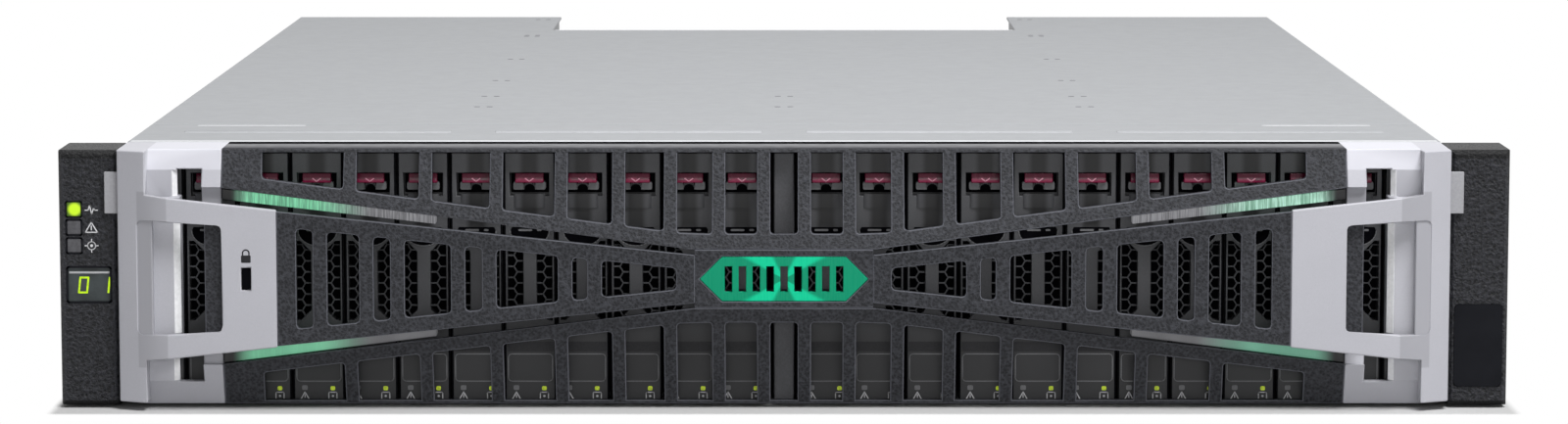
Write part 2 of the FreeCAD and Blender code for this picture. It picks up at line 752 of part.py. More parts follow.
def light_bars():
    """Frosted bars in the four slots, tucked under the sections' inner edges."""
    end = SECTION_END - GAP
    front = slope_y(slot_height(end)) + BEZEL_SKIN / 2
    out_z = BEZEL_MID + slot_height(end) - GAP
    in_z = BEZEL_MID + slot_height(BAR_END) - GAP
    outline = [(end, out_z), (BAR_END, in_z), (BAR_END, in_z - BAR_H_IN), (end, out_z - BAR_H_OUT)]
    upper = prism_xz(outline, front, front + BAR_DEPTH)
    pair = [upper, mirror_mid(upper)]
    save("light_bars", pair + [mirror_x(shape) for shape in pair])


# End castings

def casting_skin():
    """The outer skin: grip face, arm sides and outer face, folded in plan."""
    fold = [(WING_END, FRONT_Y), (GRIP_OUT_X, FRONT_Y), (CAST_CREASE_X, CAST_CREASE_Y),
            (HALF_BEZEL, CAST_EDGE_Y)]
    inside = [(x, y + BEZEL_SKIN) for x, y in reversed(fold)]
    skin = prism_xy(fold + inside, BEZEL_LOW, BEZEL_TOP)
    flare = (GRIP_OUT_H - GRIP_IN_H) / (GRIP_OUT_X - WING_END)
    strip_h = GRIP_OUT_H + flare * (CAST_STRIP_X - GRIP_OUT_X)
    upper = [(WING_END, GRIP_IN_H), (CAST_STRIP_X, strip_h), (CAST_STRIP_X, HALF_H), (HALF_BEZEL, HALF_H)]
    outline = [(x, BEZEL_MID + h) for x, h in upper] + [(x, BEZEL_MID - h) for x, h in reversed(upper)]
    skin = skin.common(prism_xz(outline, FRONT_Y, 0))
    hole = [(GRIP_HOLE_IN_X, GRIP_HOLE_IN_H), (CAST_CREASE_X, GRIP_HOLE_OUT_H),
            (CAST_CREASE_X, -GRIP_HOLE_OUT_H), (GRIP_HOLE_IN_X, -GRIP_HOLE_IN_H)]
    hole = [(x, BEZEL_MID + h) for x, h in hole]
    return skin.cut(rounded_prism_xz(hole, GRIP_HOLE_ROUND, FRONT_Y, CAST_WELL_Y))


def casting_corner(lip_back, half):
    """The upper corner behind the grip: sloping face, step, small window, lip and pocket wall."""
    low = BEZEL_MID + GRIP_IN_H
    top = BEZEL_MID + half
    lip_y = slope_y(half)
    end_h = slot_height(SECTION_END)
    step_y = slope_y(CAST_STEP_Z)
    lap_x = CAST_STRIP_X + CAST_SIDE_T
    near = [(lip_y, top), (slope_y(end_h), BEZEL_MID + end_h), (step_y, BEZEL_MID + end_h),
            (step_y, low), (step_y + BEZEL_SKIN, low), (lip_y + BEZEL_SKIN, top)]
    far = [(lip_y, top), (step_y, BEZEL_MID + CAST_STEP_Z), (step_y, low),
           (step_y + BEZEL_SKIN, low), (lip_y + BEZEL_SKIN, top)]
    plates = fuse([prism_yz(near, SECTION_END, CAST_WINDOW_IN), prism_yz(far, CAST_WINDOW_IN, lap_x)])
    rim = prism_xy([(CAST_WINDOW_OUT, step_y), (CAST_WINDOW_OUT + BEZEL_SKIN * 2 / 3, step_y),
                    (CAST_WINDOW_OUT, step_y + BEZEL_SKIN * 2 / 3)], low, BEZEL_MID + CAST_STEP_Z)
    plates = plates.cut(box(CAST_WINDOW_IN, CAST_WINDOW_OUT, FRONT_Y, 0, low, BEZEL_MID + CAST_WINDOW_TOP))
    plates = plates.cut(rim)
    lip = box(SECTION_END, lap_x, lip_y, lip_back, top - BEZEL_LIP, top)
    end_lip = box(CAST_STRIP_X, HALF_BEZEL, BEZEL_LIP_Y, lip_back, BEZEL_TOP - BEZEL_LIP, BEZEL_TOP)
    slant = (CAST_CREASE_Y - FRONT_Y) / (CAST_CREASE_X - GRIP_OUT_X)
    strip_y = CAST_CREASE_Y - slant * (CAST_CREASE_X - CAST_STRIP_X)
    cap = prism_xy([(CAST_STRIP_X, BEZEL_LIP_Y), (CAST_STRIP_X, strip_y), (CAST_CREASE_X, CAST_CREASE_Y),
                    (HALF_BEZEL, CAST_EDGE_Y), (HALF_BEZEL, BEZEL_LIP_Y)], BEZEL_TOP - BEZEL_LIP, BEZEL_TOP)
    wall = box(CAST_STRIP_X, lap_x, strip_y + BEZEL_SKIN / 2, lip_y + BEZEL_SKIN / 2, low, BEZEL_TOP)
    post = box(CAST_STRIP_X, lap_x, lip_y, lip_y + BEZEL_SKIN, low, top)
    return [plates, lip, end_lip, cap, wall, post]


def end_casting():
    """One end of the bezel in a single casting, for the right-hand side."""
    upper = casting_corner(BEZEL_BACK, HALF_H)
    lower = [mirror_mid(shape) for shape in casting_corner(LOW_LIP_BACK, HALF_LOW)]
    well_h = GRIP_OUT_H - GAP
    well_floor = box(CAST_WELL_X, CAST_CREASE_X + CAST_SIDE_T, CAST_WELL_Y, CAST_WELL_Y + CAST_SIDE_T,
                     BEZEL_MID - well_h, BEZEL_MID + well_h)
    well_wall = box(CAST_WELL_X, CAST_WELL_X + CAST_SIDE_T, CAST_WELL_Y, LOW_LIP_BACK,
                    BEZEL_MID - well_h, BEZEL_MID + well_h)
    bead_y = CAST_WELL_Y + CAST_BEAD
    well_bead = prism_xy([(CAST_WELL_X, CAST_WELL_Y), (CAST_WELL_X - CAST_BEAD, bead_y),
                          (CAST_WELL_X - CAST_BEAD, LOW_LIP_BACK), (CAST_WELL_X, LOW_LIP_BACK)],
                         BEZEL_MID - well_h, BEZEL_MID + well_h)
    side = box(HALF_BEZEL - CAST_SIDE_T, HALF_BEZEL, CAST_EDGE_Y + BEZEL_SKIN / 2, BEZEL_BACK,
               BEZEL_LOW, BEZEL_TOP)
    pieces = [casting_skin(), well_floor, well_wall, well_bead, side] + upper + lower
    tab_y = -EAR_REACH - GAP
    slot = box(HALF_BEZEL - TAB_STEM - TAB_TRAVEL - GAP, HALF_BEZEL, tab_y - TAB_T - GAP, tab_y + GAP,
               TAB_LOW - GAP, TAB_HIGH + GAP)
    return fuse(pieces).cut(slot)


def release_tab():
    tab_y = -EAR_REACH - GAP
    return box(HALF_BEZEL - TAB_STEM, HALF_BEZEL + TAB_OUT, tab_y - TAB_T, tab_y, TAB_LOW, TAB_HIGH)


def bezel():
    save("grille_upper", [grille_section(BEZEL_BACK, HALF_H)])
    save("grille_lower", [mirror_mid(grille_section(LOW_LIP_BACK, HALF_LOW))])
    save_pair("wing", [wing()])
    hub()
    light_bars()
    casting = end_casting()
    lock = square_hole(LOCK_X, BEZEL_MID, LOCK_W, LOCK_H, FRONT_Y, FRONT_Y + BEZEL_SKIN)
    save("end_casting_left", [mirror_x(casting.cut(lock))])
    save("end_casting_right", [casting])
    save_pair("release_tab", [release_tab()])


# Controller canisters

def ports():
    """Place and size of each rear port: x, width, height, depth."""
    cages = [(SFP_X + SFP_PITCH * index, SFP_W, SFP_H, SFP_L) for index in range(4)]
    return cages + [(RJ_X, RJ_W, RJ_H, RJ_L), (SAS_X, SAS_W, SAS_H, SAS_L)]


def port_cage(x, width, height, depth):
    """A socket shell, open at the rear."""
    front = CANISTER_REAR - depth
    shell = square_hole(x, PORT_Z, width + 2 * PORT_WALL, height + 2 * PORT_WALL, front, CANISTER_REAR)
    return shell.cut(square_hole(x, PORT_Z, width, height, front + PORT_WALL, CANISTER_REAR))


def lever_lugs():
    """Two plates above and below the right lever, joined by the post that it turns on."""
    reach = CANISTER_REAR + LEVER_STAND + LEVER_T
    post = LEVER_H / 2 + GAP
    lugs = [rod_z(LEVER_PIN_X, CANISTER_REAR + LEVER_STAND, LEVER_Z - post, LEVER_Z + post, LEVER_PIN_R)]
    for sense in (-1, 1):
        near = LEVER_H / 2 + GAP
        span = sorted((LEVER_Z + sense * near, LEVER_Z + sense * (near + LEVER_LUG_T)))
        lugs.append(box(LEVER_PIN_X - LEVER_T, LEVER_PIN_X + LEVER_T, CANISTER_REAR, reach, *span))
    return lugs


def cam_lever():
    """The right ejector lever, lying along the rear face with its grip towards the middle."""
    y = CANISTER_REAR + LEVER_STAND
    low = LEVER_Z - LEVER_H / 2
    high = LEVER_Z + LEVER_H / 2
    tip = LEVER_PIN_X - LEVER_L
    arm = box(tip, LEVER_PIN_X, y - LEVER_T / 2, y + LEVER_T / 2, low, high)
    grip = prism_xy([(tip, y - LEVER_T / 2), (tip + 2 * LEVER_H, y - LEVER_T / 2),
                     (tip + LEVER_H, y + LEVER_T), (tip, y + LEVER_T)], low, high)
    knuckle = prism_xy(flats(LEVER_PIN_X, y, LEVER_T * 3 / 4, BAR_SIDES), low, high)
    bore = rod_z(LEVER_PIN_X, y, low, high, LEVER_PIN_R + RUN_GAP)
    return fuse([arm, grip, knuckle]).cut(bore)


def canister_housing():
    shell = box(-CANISTER_HALF, CANISTER_HALF, CANISTER_Y, CANISTER_REAR, 0, CANISTER_H)
    inside = box(-CANISTER_HALF + CANISTER_WALL, CANISTER_HALF - CANISTER_WALL, CANISTER_Y,
                 CANISTER_REAR - CANISTER_WALL, CANISTER_WALL, CANISTER_H - CANISTER_WALL)
    more = 2 * PORT_WALL + 2 * FIT
    through = (CANISTER_REAR - CANISTER_WALL, CANISTER_REAR)
    holes = [square_hole(port[0], PORT_Z, port[1] + more, port[2] + more, *through) for port in ports()]
    shell = shell.cut(Part.makeCompound([inside] + holes))
    lugs = lever_lugs()
    return fuse([shell] + lugs + [mirror_x(lug) for lug in lugs])


def canister_board():
    top = CANISTER_BOARD_Z + BOARD_T
    edge = CANISTER_HALF - CANISTER_WALL - GAP
    board = box(-edge, edge, CANISTER_Y, CANISTER_REAR - CANISTER_WALL - GAP, CANISTER_BOARD_Z, top)
    middle = (CANISTER_Y + CANISTER_REAR - SFP_L) / 2
    start = middle - SINK_L / 2
    base = box(-SINK_W / 2, SINK_W / 2, start, start + SINK_L, top, top + SINK_H / 4)
    fins = []
    pitch = SINK_W / SINK_FINS
    for index in range(SINK_FINS):
        x = -SINK_W / 2 + pitch * index
        fins.append(box(x, x + pitch / 3, start, start + SINK_L, top + SINK_H / 4, top + SINK_H))
    return [board, fuse([base] + fins)]


def canisters():
    for name, floor in (("lower", SHEET + GAP), ("upper", SHELF_Z + SHEET + GAP)):
        lift = vec(0, 0, floor)
        stem = "canister_" + name
        save(stem + "_housing", [canister_housing().translated(lift)])
        save(stem + "_board", [shape.translated(lift) for shape in canister_board()])
        save(stem + "_ports", [port_cage(*port).translated(lift) for port in ports()])
        save_pair(stem + "_lever", [cam_lever().translated(lift)])


# Power modules

def power_housing():
    rear = CHASSIS_L - POWER_WALL
    shell = box(POWER_X0, POWER_X1, POWER_Y, CHASSIS_L, POWER_LOW, POWER_HIGH)
    inside = box(POWER_X0 + POWER_WALL, POWER_X1 - POWER_WALL, POWER_Y + POWER_WALL, rear,
                 POWER_LOW + POWER_WALL, POWER_HIGH - POWER_WALL)
    fan_hole = prism_xz(flats(FAN_X, FAN_Z, FAN_R, ROUND_SIDES), rear, CHASSIS_L)
    inlet_hole = square_hole(COLUMN_X, INLET_Z, INLET_W + 2 * FIT, INLET_H + 2 * FIT, rear, CHASSIS_L)
    switch_out = 2 * SWITCH_WALL
    switch_hole = square_hole(COLUMN_X, SWITCH_Z, SWITCH_W, SWITCH_H, rear, CHASSIS_L)
    shell = shell.cut(Part.makeCompound([inside, fan_hole, inlet_hole, switch_hole]))
    collar = square_hole(COLUMN_X, SWITCH_Z, SWITCH_W + switch_out, SWITCH_H + switch_out,
                         rear - SWITCH_DEPTH, CHASSIS_L + SWITCH_WALL)
    collar = collar.cut(square_hole(COLUMN_X, SWITCH_Z, SWITCH_W, SWITCH_H,
                                    rear - SWITCH_DEPTH, CHASSIS_L + SWITCH_WALL))
    pin_half = SWITCH_W / 2 + SWITCH_WALL / 2
    pin = rod_x(COLUMN_X - pin_half, COLUMN_X + pin_half, rear, SWITCH_Z, SWITCH_PIN_R)
    spider_y = rear - FAN_DEPTH - 2 * SPIDER_T
    spider = box(POWER_X0 + POWER_WALL, POWER_X1 - POWER_WALL, spider_y, spider_y + SPIDER_T,
                 FAN_Z - SPIDER_W / 2, FAN_Z + SPIDER_W / 2)
    post = rod_y(FAN_X, spider_y, rear - 2 * SPIDER_T, FAN_Z, FAN_POST_R)
    return fuse([shell, collar, pin, spider, post] + handle_lugs())


def handle_lugs():
    """Plates on the rear face, inside each arm of the handle, that hold its pins."""
    pin_y = CHASSIS_L + HANDLE_PIN_Y
    lugs = []
    for side in (-1, 1):
        inner = HANDLE_HALF - GAP - HANDLE_LUG_T
        ends = sorted((FAN_X + side * inner, FAN_X + side * (inner + HANDLE_LUG_T)))
        plate = box(ends[0], ends[1], CHASSIS_L, pin_y + 2 * HANDLE_PIN_R,
                    HANDLE_PIN_Z - 2 * HANDLE_PIN_R, HANDLE_PIN_Z + 2 * HANDLE_PIN_R)
        lugs.append(plate.cut(rod_x(ends[0], ends[1], pin_y, HANDLE_PIN_Z, HANDLE_PIN_R + RUN_GAP)))
    return lugs


def pull_handle():
    """A U-shaped handle over the fan guard, standing off far enough for fingers."""
    pin_y = CHASSIS_L + HANDLE_PIN_Y
    bar_r = HANDLE_BAR / 2
    bar_y = PART_REAR - bar_r
    bar_z = HANDLE_TOP - bar_r
    outline = [(pin_y - bar_r, HANDLE_PIN_Z), (pin_y + bar_r, HANDLE_PIN_Z),
               (bar_y + bar_r, bar_z), (bar_y - bar_r, bar_z)]
    outer = HANDLE_HALF + HANDLE_ARM_T
    reach = HANDLE_HALF - GAP - HANDLE_LUG_T
    pieces = [prism_yz(flats(bar_y, bar_z, bar_r, BAR_SIDES), FAN_X - outer, FAN_X + outer)]
    for side in (-1, 1):
        arm = sorted((FAN_X + side * HANDLE_HALF, FAN_X + side * outer))
        pin = sorted((FAN_X + side * reach, FAN_X + side * outer))
        pieces.append(prism_yz(outline, *arm))
        pieces.append(prism_yz(flats(pin_y, HANDLE_PIN_Z, bar_r, BAR_SIDES), arm[0], arm[1]))
        pieces.append(rod_x(pin[0], pin[1], pin_y, HANDLE_PIN_Z, HANDLE_PIN_R))
    return fuse(pieces)


def fan_rotor():
    """A hub on a fixed post, with straight pitched blades."""
    rear = CHASSIS_L - POWER_WALL
    start = rear - FAN_DEPTH
    hub_end = rear - SPIDER_T
    body = prism_xz(flats(FAN_X, FAN_Z, FAN_HUB_R, HUB_SIDES), start, hub_end)
    bore = rod_y(FAN_X, start, hub_end - SPIDER_T, FAN_Z, FAN_POST_R + RUN_GAP)
    middle = vec(FAN_X, (start + hub_end) / 2, FAN_Z)
    blades = []
    for index in range(FAN_BLADES):
        blade = box(FAN_HUB_R - BLADE_T, FAN_R - FAN_TIP_GAP, -BLADE_T / 2, BLADE_T / 2,
                    -BLADE_CHORD / 2, BLADE_CHORD / 2)
        blade.rotate(vec(0, 0, 0), vec(1, 0, 0), BLADE_TILT)
        blade.rotate(vec(0, 0, 0), vec(0, 1, 0), 360 * index / FAN_BLADES)
        blades.append(blade.translated(middle))
    return fuse([body] + blades).cut(bore)


def fan_guard():
    """A round perforated plate with hexagonal cells."""
    rim = flats(FAN_X, FAN_Z, FAN_R + GUARD_MARGIN, ROUND_SIDES)
    plate = prism_xz(rim, CHASSIS_L, CHASSIS_L + GUARD_T)
    pitch = GUARD_CELL + GUARD_BAR
    corner = GUARD_CELL / math.sqrt(3)
    cells = []
    for row in range(-2, 3):
        for column in range(5 - abs(row)):
            x = FAN_X + pitch * (column - (4 - abs(row)) / 2)
            z = FAN_Z + pitch * row * math.sqrt(3) / 2
            turns = [math.radians(60 * turn) for turn in range(6)]
            outline = [(x + corner * math.sin(turn), z + corner * math.cos(turn)) for turn in turns]
            cells.append(prism_xz(outline, CHASSIS_L, CHASSIS_L + GUARD_T))
    return plate.cut(Part.makeCompound(cells))


def mains_inlet():
    """A recessed three-prong inlet: earth prong above, the other two below."""
    front = CHASSIS_L - INLET_L
    well = CHASSIS_L - PRONG_L
    body = square_hole(COLUMN_X, INLET_Z, INLET_W, INLET_H, front, CHASSIS_L)
    body = body.cut(square_hole(COLUMN_X, INLET_Z, INLET_W - 2 * INLET_WALL, INLET_H - 2 * INLET_WALL,
                                well, CHASSIS_L))
    side = INLET_W / 4
    rise = INLET_H / 8
    places = [(-side, -rise), (0, rise), (side, -rise)]
    tip = CHASSIS_L - INLET_WALL
    prongs = [square_hole(COLUMN_X + x, INLET_Z + z, PRONG_T, PRONG_W, well, tip) for x, z in places]
    return [body] + prongs


def rocker():
    """A rocker pressed at its upper end, on the rod across its collar."""
    rear = CHASSIS_L - POWER_WALL
    half = SWITCH_H / 2 - SWITCH_WALL
    deep = -2 * SWITCH_WALL
    proud = 2 * SWITCH_WALL
    waist = SWITCH_PIN_R + SWITCH_WALL / 2
    outline = [(deep, -half), (proud, -half), (waist, 0), (proud, half), (deep, half)]
    outline = [(rear + y, SWITCH_Z + z) for y, z in outline]
    width = SWITCH_W / 2 - GAP
    body = prism_yz(outline, COLUMN_X - width, COLUMN_X + width)
    body.rotate(vec(COLUMN_X, rear, SWITCH_Z), vec(1, 0, 0), SWITCH_TILT)
    bore = rod_x(COLUMN_X - width, COLUMN_X + width, rear, SWITCH_Z, SWITCH_PIN_R + RUN_GAP)
    return body.cut(bore)


def power_modules():
    save_pair("power_housing", [power_housing()])
    save_pair("fan_guard", [fan_guard()])
    save_pair("fan_rotor", [fan_rotor()])
    save_pair("mains_inlet", mains_inlet())
    save_pair("power_switch", [rocker()])
    save_pair("pull_handle", [pull_handle()])


os.makedirs("parts", exist_ok=True)
chassis_tray()
front_panel()
top_cover()
rack_flanges()
ears()
ear_electronics()
drives()
drive_guides()
centre_divider()
midplane()
rear_bays()
bezel()
canisters()
power_modules()
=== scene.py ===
"""Finishes, small fittings and studio for the two-unit storage array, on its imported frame.

Metres in the row frame: +X is right seen from the front, the front faces -Y, +Z is up.
Laid out as an add-on: settings, finishes, node trees, one operator for each group of pieces.
"""
import json
import math
from functools import partial

import bmesh
import bpy
from bpy.props import FloatProperty, FloatVectorProperty, IntProperty, PointerProperty
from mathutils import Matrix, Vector

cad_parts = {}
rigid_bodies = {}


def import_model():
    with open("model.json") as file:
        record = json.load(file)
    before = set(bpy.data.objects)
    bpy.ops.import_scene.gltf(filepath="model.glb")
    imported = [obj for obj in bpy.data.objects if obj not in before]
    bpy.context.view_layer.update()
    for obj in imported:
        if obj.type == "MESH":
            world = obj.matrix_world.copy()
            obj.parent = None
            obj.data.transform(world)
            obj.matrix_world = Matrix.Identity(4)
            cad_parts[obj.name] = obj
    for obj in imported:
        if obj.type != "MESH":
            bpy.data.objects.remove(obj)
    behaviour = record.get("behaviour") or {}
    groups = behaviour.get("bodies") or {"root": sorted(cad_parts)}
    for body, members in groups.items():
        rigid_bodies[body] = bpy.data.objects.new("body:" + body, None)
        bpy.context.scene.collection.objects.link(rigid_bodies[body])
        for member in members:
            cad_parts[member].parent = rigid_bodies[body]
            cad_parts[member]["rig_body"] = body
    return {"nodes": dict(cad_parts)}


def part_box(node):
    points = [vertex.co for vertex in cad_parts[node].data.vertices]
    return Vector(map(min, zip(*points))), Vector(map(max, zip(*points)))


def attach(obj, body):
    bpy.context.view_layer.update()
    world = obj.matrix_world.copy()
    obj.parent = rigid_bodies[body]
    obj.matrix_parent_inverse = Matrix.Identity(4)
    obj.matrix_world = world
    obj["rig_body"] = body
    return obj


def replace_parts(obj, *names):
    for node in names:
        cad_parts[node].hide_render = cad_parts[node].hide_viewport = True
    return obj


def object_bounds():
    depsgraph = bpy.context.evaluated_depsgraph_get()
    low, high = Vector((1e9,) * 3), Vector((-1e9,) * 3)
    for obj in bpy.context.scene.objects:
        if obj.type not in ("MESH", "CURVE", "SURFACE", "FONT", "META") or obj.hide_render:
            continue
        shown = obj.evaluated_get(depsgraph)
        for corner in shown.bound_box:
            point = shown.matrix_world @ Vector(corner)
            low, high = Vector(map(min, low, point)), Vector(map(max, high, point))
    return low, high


bl_info = {
    "name": "Storage array dressing",
    "version": (1, 0, 0),
    "blender": (4, 5, 0),
    "location": "View3D > Sidebar > Array",
    "description": "Finishes, small fittings and studio for the rack storage array",
    "category": "Object",
}

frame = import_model()
CAD_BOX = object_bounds()
NODES = frame["nodes"]
MM = 0.001
UP = Vector((0.0, 0.0, 1.0))
DOWN = Vector((0.0, 0.0, -1.0))
REARWARD = Vector((0.0, 1.0, 0.0))
SENSES = (-1.0, 1.0)


def low(node):
    """Lowest corner of a CAD node."""
    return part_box(node)[0]


def high(node):
    """Highest corner of a CAD node."""
    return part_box(node)[1]


def middle(node):
    """Middle of a CAD node's box."""
    corner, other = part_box(node)
    return (corner + other) / 2


# Settings a user would change


def length(name, text, millimetres):
    """A length setting, given in millimetres."""
    return FloatProperty(name=name, description=text, default=millimetres * MM, unit="LENGTH", precision=5)


def colour(name, text, rgb):
    """A colour setting, linear."""
    return FloatVectorProperty(name=name, description=text, default=rgb, subtype="COLOR", min=0.0, max=1.0)


class ArraySizes(bpy.types.PropertyGroup):
    """Sizes of the small fittings and of the eased edges."""

    edge: length("Edge ease", "Rounding of the bezel's moulded edges", 0.35)
    paint_edge: length("Casting ease", "Rounding of the painted castings' edges", 0.5)
    bay_first: length("First bay", "Middle of the first drive bay from the middle", 14.0104)
    bay_pitch: length("Bay pitch", "Distance between drive bays", 17.7208)
    cell: length("Vent cell", "Honeycomb cell of the drive vents, across flats", 3.73)
    cell_wall: length("Vent wall", "Honeycomb wall of the drive vents", 0.44)
    rivet: length("Cover mark", "Half width of the cover's pressed marks", 1.1)
    screw: length("Screw", "Radius of the small screw heads", 2.6)
    hole: length("Vent hole", "Radius of the rear sheet's vent holes", 1.25)
    hole_pitch: length("Vent pitch", "Pitch of the rear sheet's vent holes", 3.3)
    bays: IntProperty(name="Bays a side", description="Drive bays on each side", default=12, min=1)


class ArrayColours(bpy.types.PropertyGroup):
    """Colours of the finishes."""

    sheet: colour("Sheet steel", "Zinc-coated cover and tray", (0.275, 0.283, 0.296))
    paint: colour("Silver paint", "End castings", (0.42, 0.42, 0.458))
    grille: colour("Grille", "Sand-grained bezel plastic", (0.030, 0.031, 0.036))
    ear: colour("Ear", "Leather-grained ear plastic", (0.017, 0.0175, 0.021))
    carrier: colour("Carrier", "Drive front plastic", (0.060, 0.061, 0.066))
    button: colour("Release button", "Drive release buttons", (0.12, 0.005, 0.028))
    insert: colour("Hub insert", "Green insert in the bezel's hub", (0.0015, 0.26, 0.135))
    glow: colour("Light bar", "Lit end of the light bars", (0.20, 0.60, 0.36))
    lamp: colour("Status lamp", "Lit status lamp and digits", (0.62, 0.95, 0.006))
    floor: colour("Floor", "Studio floor", (0.50, 0.50, 0.50))


class ArrayStudio(bpy.types.PropertyGroup):
    """Camera and light."""

    lens: FloatProperty(name="Lens", description="Focal length in mm on a 36 mm sensor", default=108.7)
    back: length("Camera back", "Distance of the camera from the array's middle", 1872.5)
    up: length("Camera height", "Height of the camera above the array's underside", 245.3)
    tilt: FloatProperty(
        name="Tilt", description="Camera tilt below level", default=math.radians(6.54), subtype="ANGLE"
    )
    key: FloatProperty(name="Key light", description="Power of the high front light", default=47.0)
    fill: FloatProperty(name="Front light", description="Power of the low front light", default=8.0)
    top: FloatProperty(name="Top light", description="Power of the overhead light", default=3.0)
    sky: FloatProperty(name="Sky", description="Strength of the light from all round", default=0.2)


def sizes():
    """The sizes set for this scene."""
    return bpy.context.scene.array_sizes


def colours():
    """The colours set for this scene."""
    return bpy.context.scene.array_colours


def studio():
    """The studio settings of this scene."""
    return bpy.context.scene.array_studio


# Finishes


class Finish:
    """A node material: one Principled shader and the patterns that feed it, on Object coordinates."""

    def __init__(self, name, base, roughness, metallic=0.0, specular=0.5, coat=0.0):
        self.material = bpy.data.materials.new(name)
        self.material.use_nodes = True
        self.tree = self.material.node_tree
        self.shader = self.tree.nodes["Principled BSDF"]
        self.base = tuple(base)[:3]
        self.shader.inputs["Base Color"].default_value = (*self.base, 1.0)
        self.shader.inputs["Roughness"].default_value = roughness
        self.shader.inputs["Metallic"].default_value = metallic
        self.shader.inputs["Specular IOR Level"].default_value = specular
        self.shader.inputs["Coat Weight"].default_value = coat
        self.place = self.add("ShaderNodeTexCoord").outputs["Object"]
        self.normal = None

    def add(self, kind, **settings):
        """A new node with some of its settings."""
        node = self.tree.nodes.new(kind)
        for key, value in settings.items():
            setattr(node, key, value)
        return node

    def link(self, source, target):
        """Joins two sockets."""
        self.tree.links.new(source, target)
        return source

    def put(self, socket, value):
        """Gives a socket a plain value or joins it to another socket."""
        if isinstance(value, bpy.types.NodeSocket):
            self.link(value, socket)
        else:
            socket.default_value = value

    def stretch(self, scale):
        """Object coordinates scaled along each axis."""
        mapping = self.add("ShaderNodeMapping")
        self.link(self.place, mapping.inputs["Vector"])
        mapping.inputs["Scale"].default_value = scale
        return mapping.outputs["Vector"]

    def noise(self, scale, detail=3.0, rough=0.55, stretch=(1.0, 1.0, 1.0)):
        """Fine noise, so many cycles in a metre."""
        node = self.add("ShaderNodeTexNoise")
        self.link(self.stretch(stretch), node.inputs["Vector"])
        node.inputs["Scale"].default_value = scale
        node.inputs["Detail"].default_value = detail
        node.inputs["Roughness"].default_value = rough
        return node.outputs["Fac"]

    def cells(self, scale):
        """Cell pattern, so many cells in a metre."""
        node = self.add("ShaderNodeTexVoronoi", feature="SMOOTH_F1")
        self.link(self.place, node.inputs["Vector"])
        node.inputs["Scale"].default_value = scale
        return node.outputs["Distance"]

    def rounds(self):
        """One on the eased edges of a piece, nought on its other faces."""
        return self.add("ShaderNodeAttribute", attribute_name="eased").outputs["Fac"]

    def axis(self, letter):
        """One Object coordinate, in metres."""
        split = self.add("ShaderNodeSeparateXYZ")
        self.link(self.place, split.inputs["Vector"])
        return split.outputs[letter]

    def maths(self, operation, first, second=0.0):
        """One arithmetic step."""
        node = self.add("ShaderNodeMath", operation=operation)
        self.put(node.inputs[0], first)
        self.put(node.inputs[1], second)
        return node.outputs["Value"]

    def times(self, first, *others):
        """Product of two or more values."""
        for other in others:
            first = self.maths("MULTIPLY", first, other)
        return first

    def blend(self, first, share, second, other_share):
        """Two patterns added in shares."""
        return self.maths("ADD", self.times(first, share), self.times(second, other_share))

    def away(self, value, place=0.0):
        """Distance of a value from a place."""
        return self.maths("ABSOLUTE", self.maths("SUBTRACT", value, place))

    def under(self, value, start, end):
        """One below a range, nought above it."""
        return self.between(value, start, end, 1.0, 0.0)

    def between(self, value, start=0.3, end=0.7, to_start=0.0, to_end=1.0):
        """Value carried from one range to another, clamped. A noise mostly runs from 0.3 to 0.7."""
        node = self.add("ShaderNodeMapRange", interpolation_type="SMOOTHSTEP")
        self.link(value, node.inputs["Value"])
        node.inputs["From Min"].default_value = start
        node.inputs["From Max"].default_value = end
        node.inputs["To Min"].default_value = to_start
        node.inputs["To Max"].default_value = to_end
        return node.outputs["Result"]

    def mix(self, factor, first, second):
        """Two colours mixed by a factor."""
        node = self.add("ShaderNodeMix", data_type="RGBA")
        self.put(node.inputs["Factor"], factor)
        for socket, value in ((node.inputs[6], first), (node.inputs[7], second)):
            self.put(socket, value if isinstance(value, bpy.types.NodeSocket) else (*tuple(value)[:3], 1.0))
        return node.outputs[2]

    def shade(self, amount):
        """The base colour made lighter or darker by an amount."""
        return tuple(min(1.0, part * amount) for part in self.base)

    def vary(self, pattern, dark, light, start=0.3, end=0.7):
        """Base colour that runs between two shades with a pattern."""
        factor = self.between(pattern, start, end)
        return self.tint(self.mix(factor, self.shade(dark), self.shade(light)))

    def tint(self, value):
        """Feeds the base colour."""
        return self.link(value, self.shader.inputs["Base Color"])

    def rough(self, pattern, start, end):
        """Roughness that runs between two values with a pattern."""
        self.link(self.between(pattern, to_start=start, to_end=end), self.shader.inputs["Roughness"])

    def bump(self, pattern, strength, depth):
        """Adds a relief of so many metres to the surface."""
        node = self.add("ShaderNodeBump")
        self.link(pattern, node.inputs["Height"])
        node.inputs["Strength"].default_value = strength
        node.inputs["Distance"].default_value = depth
        if self.normal is not None:
            self.link(self.normal, node.inputs["Normal"])
        self.normal = node.outputs["Normal"]
        self.link(self.normal, self.shader.inputs["Normal"])

    def glow(self, value, strength):
        """Lets the surface shine in a colour."""
        self.link(value, self.shader.inputs["Emission Color"])
        self.shader.inputs["Emission Strength"].default_value = strength


FINISHES = {}


def finish(name):
    """The material of that name, made on first use."""
    if name not in FINISHES:
        FINISHES[name] = RECIPES[name]().material
    return FINISHES[name]


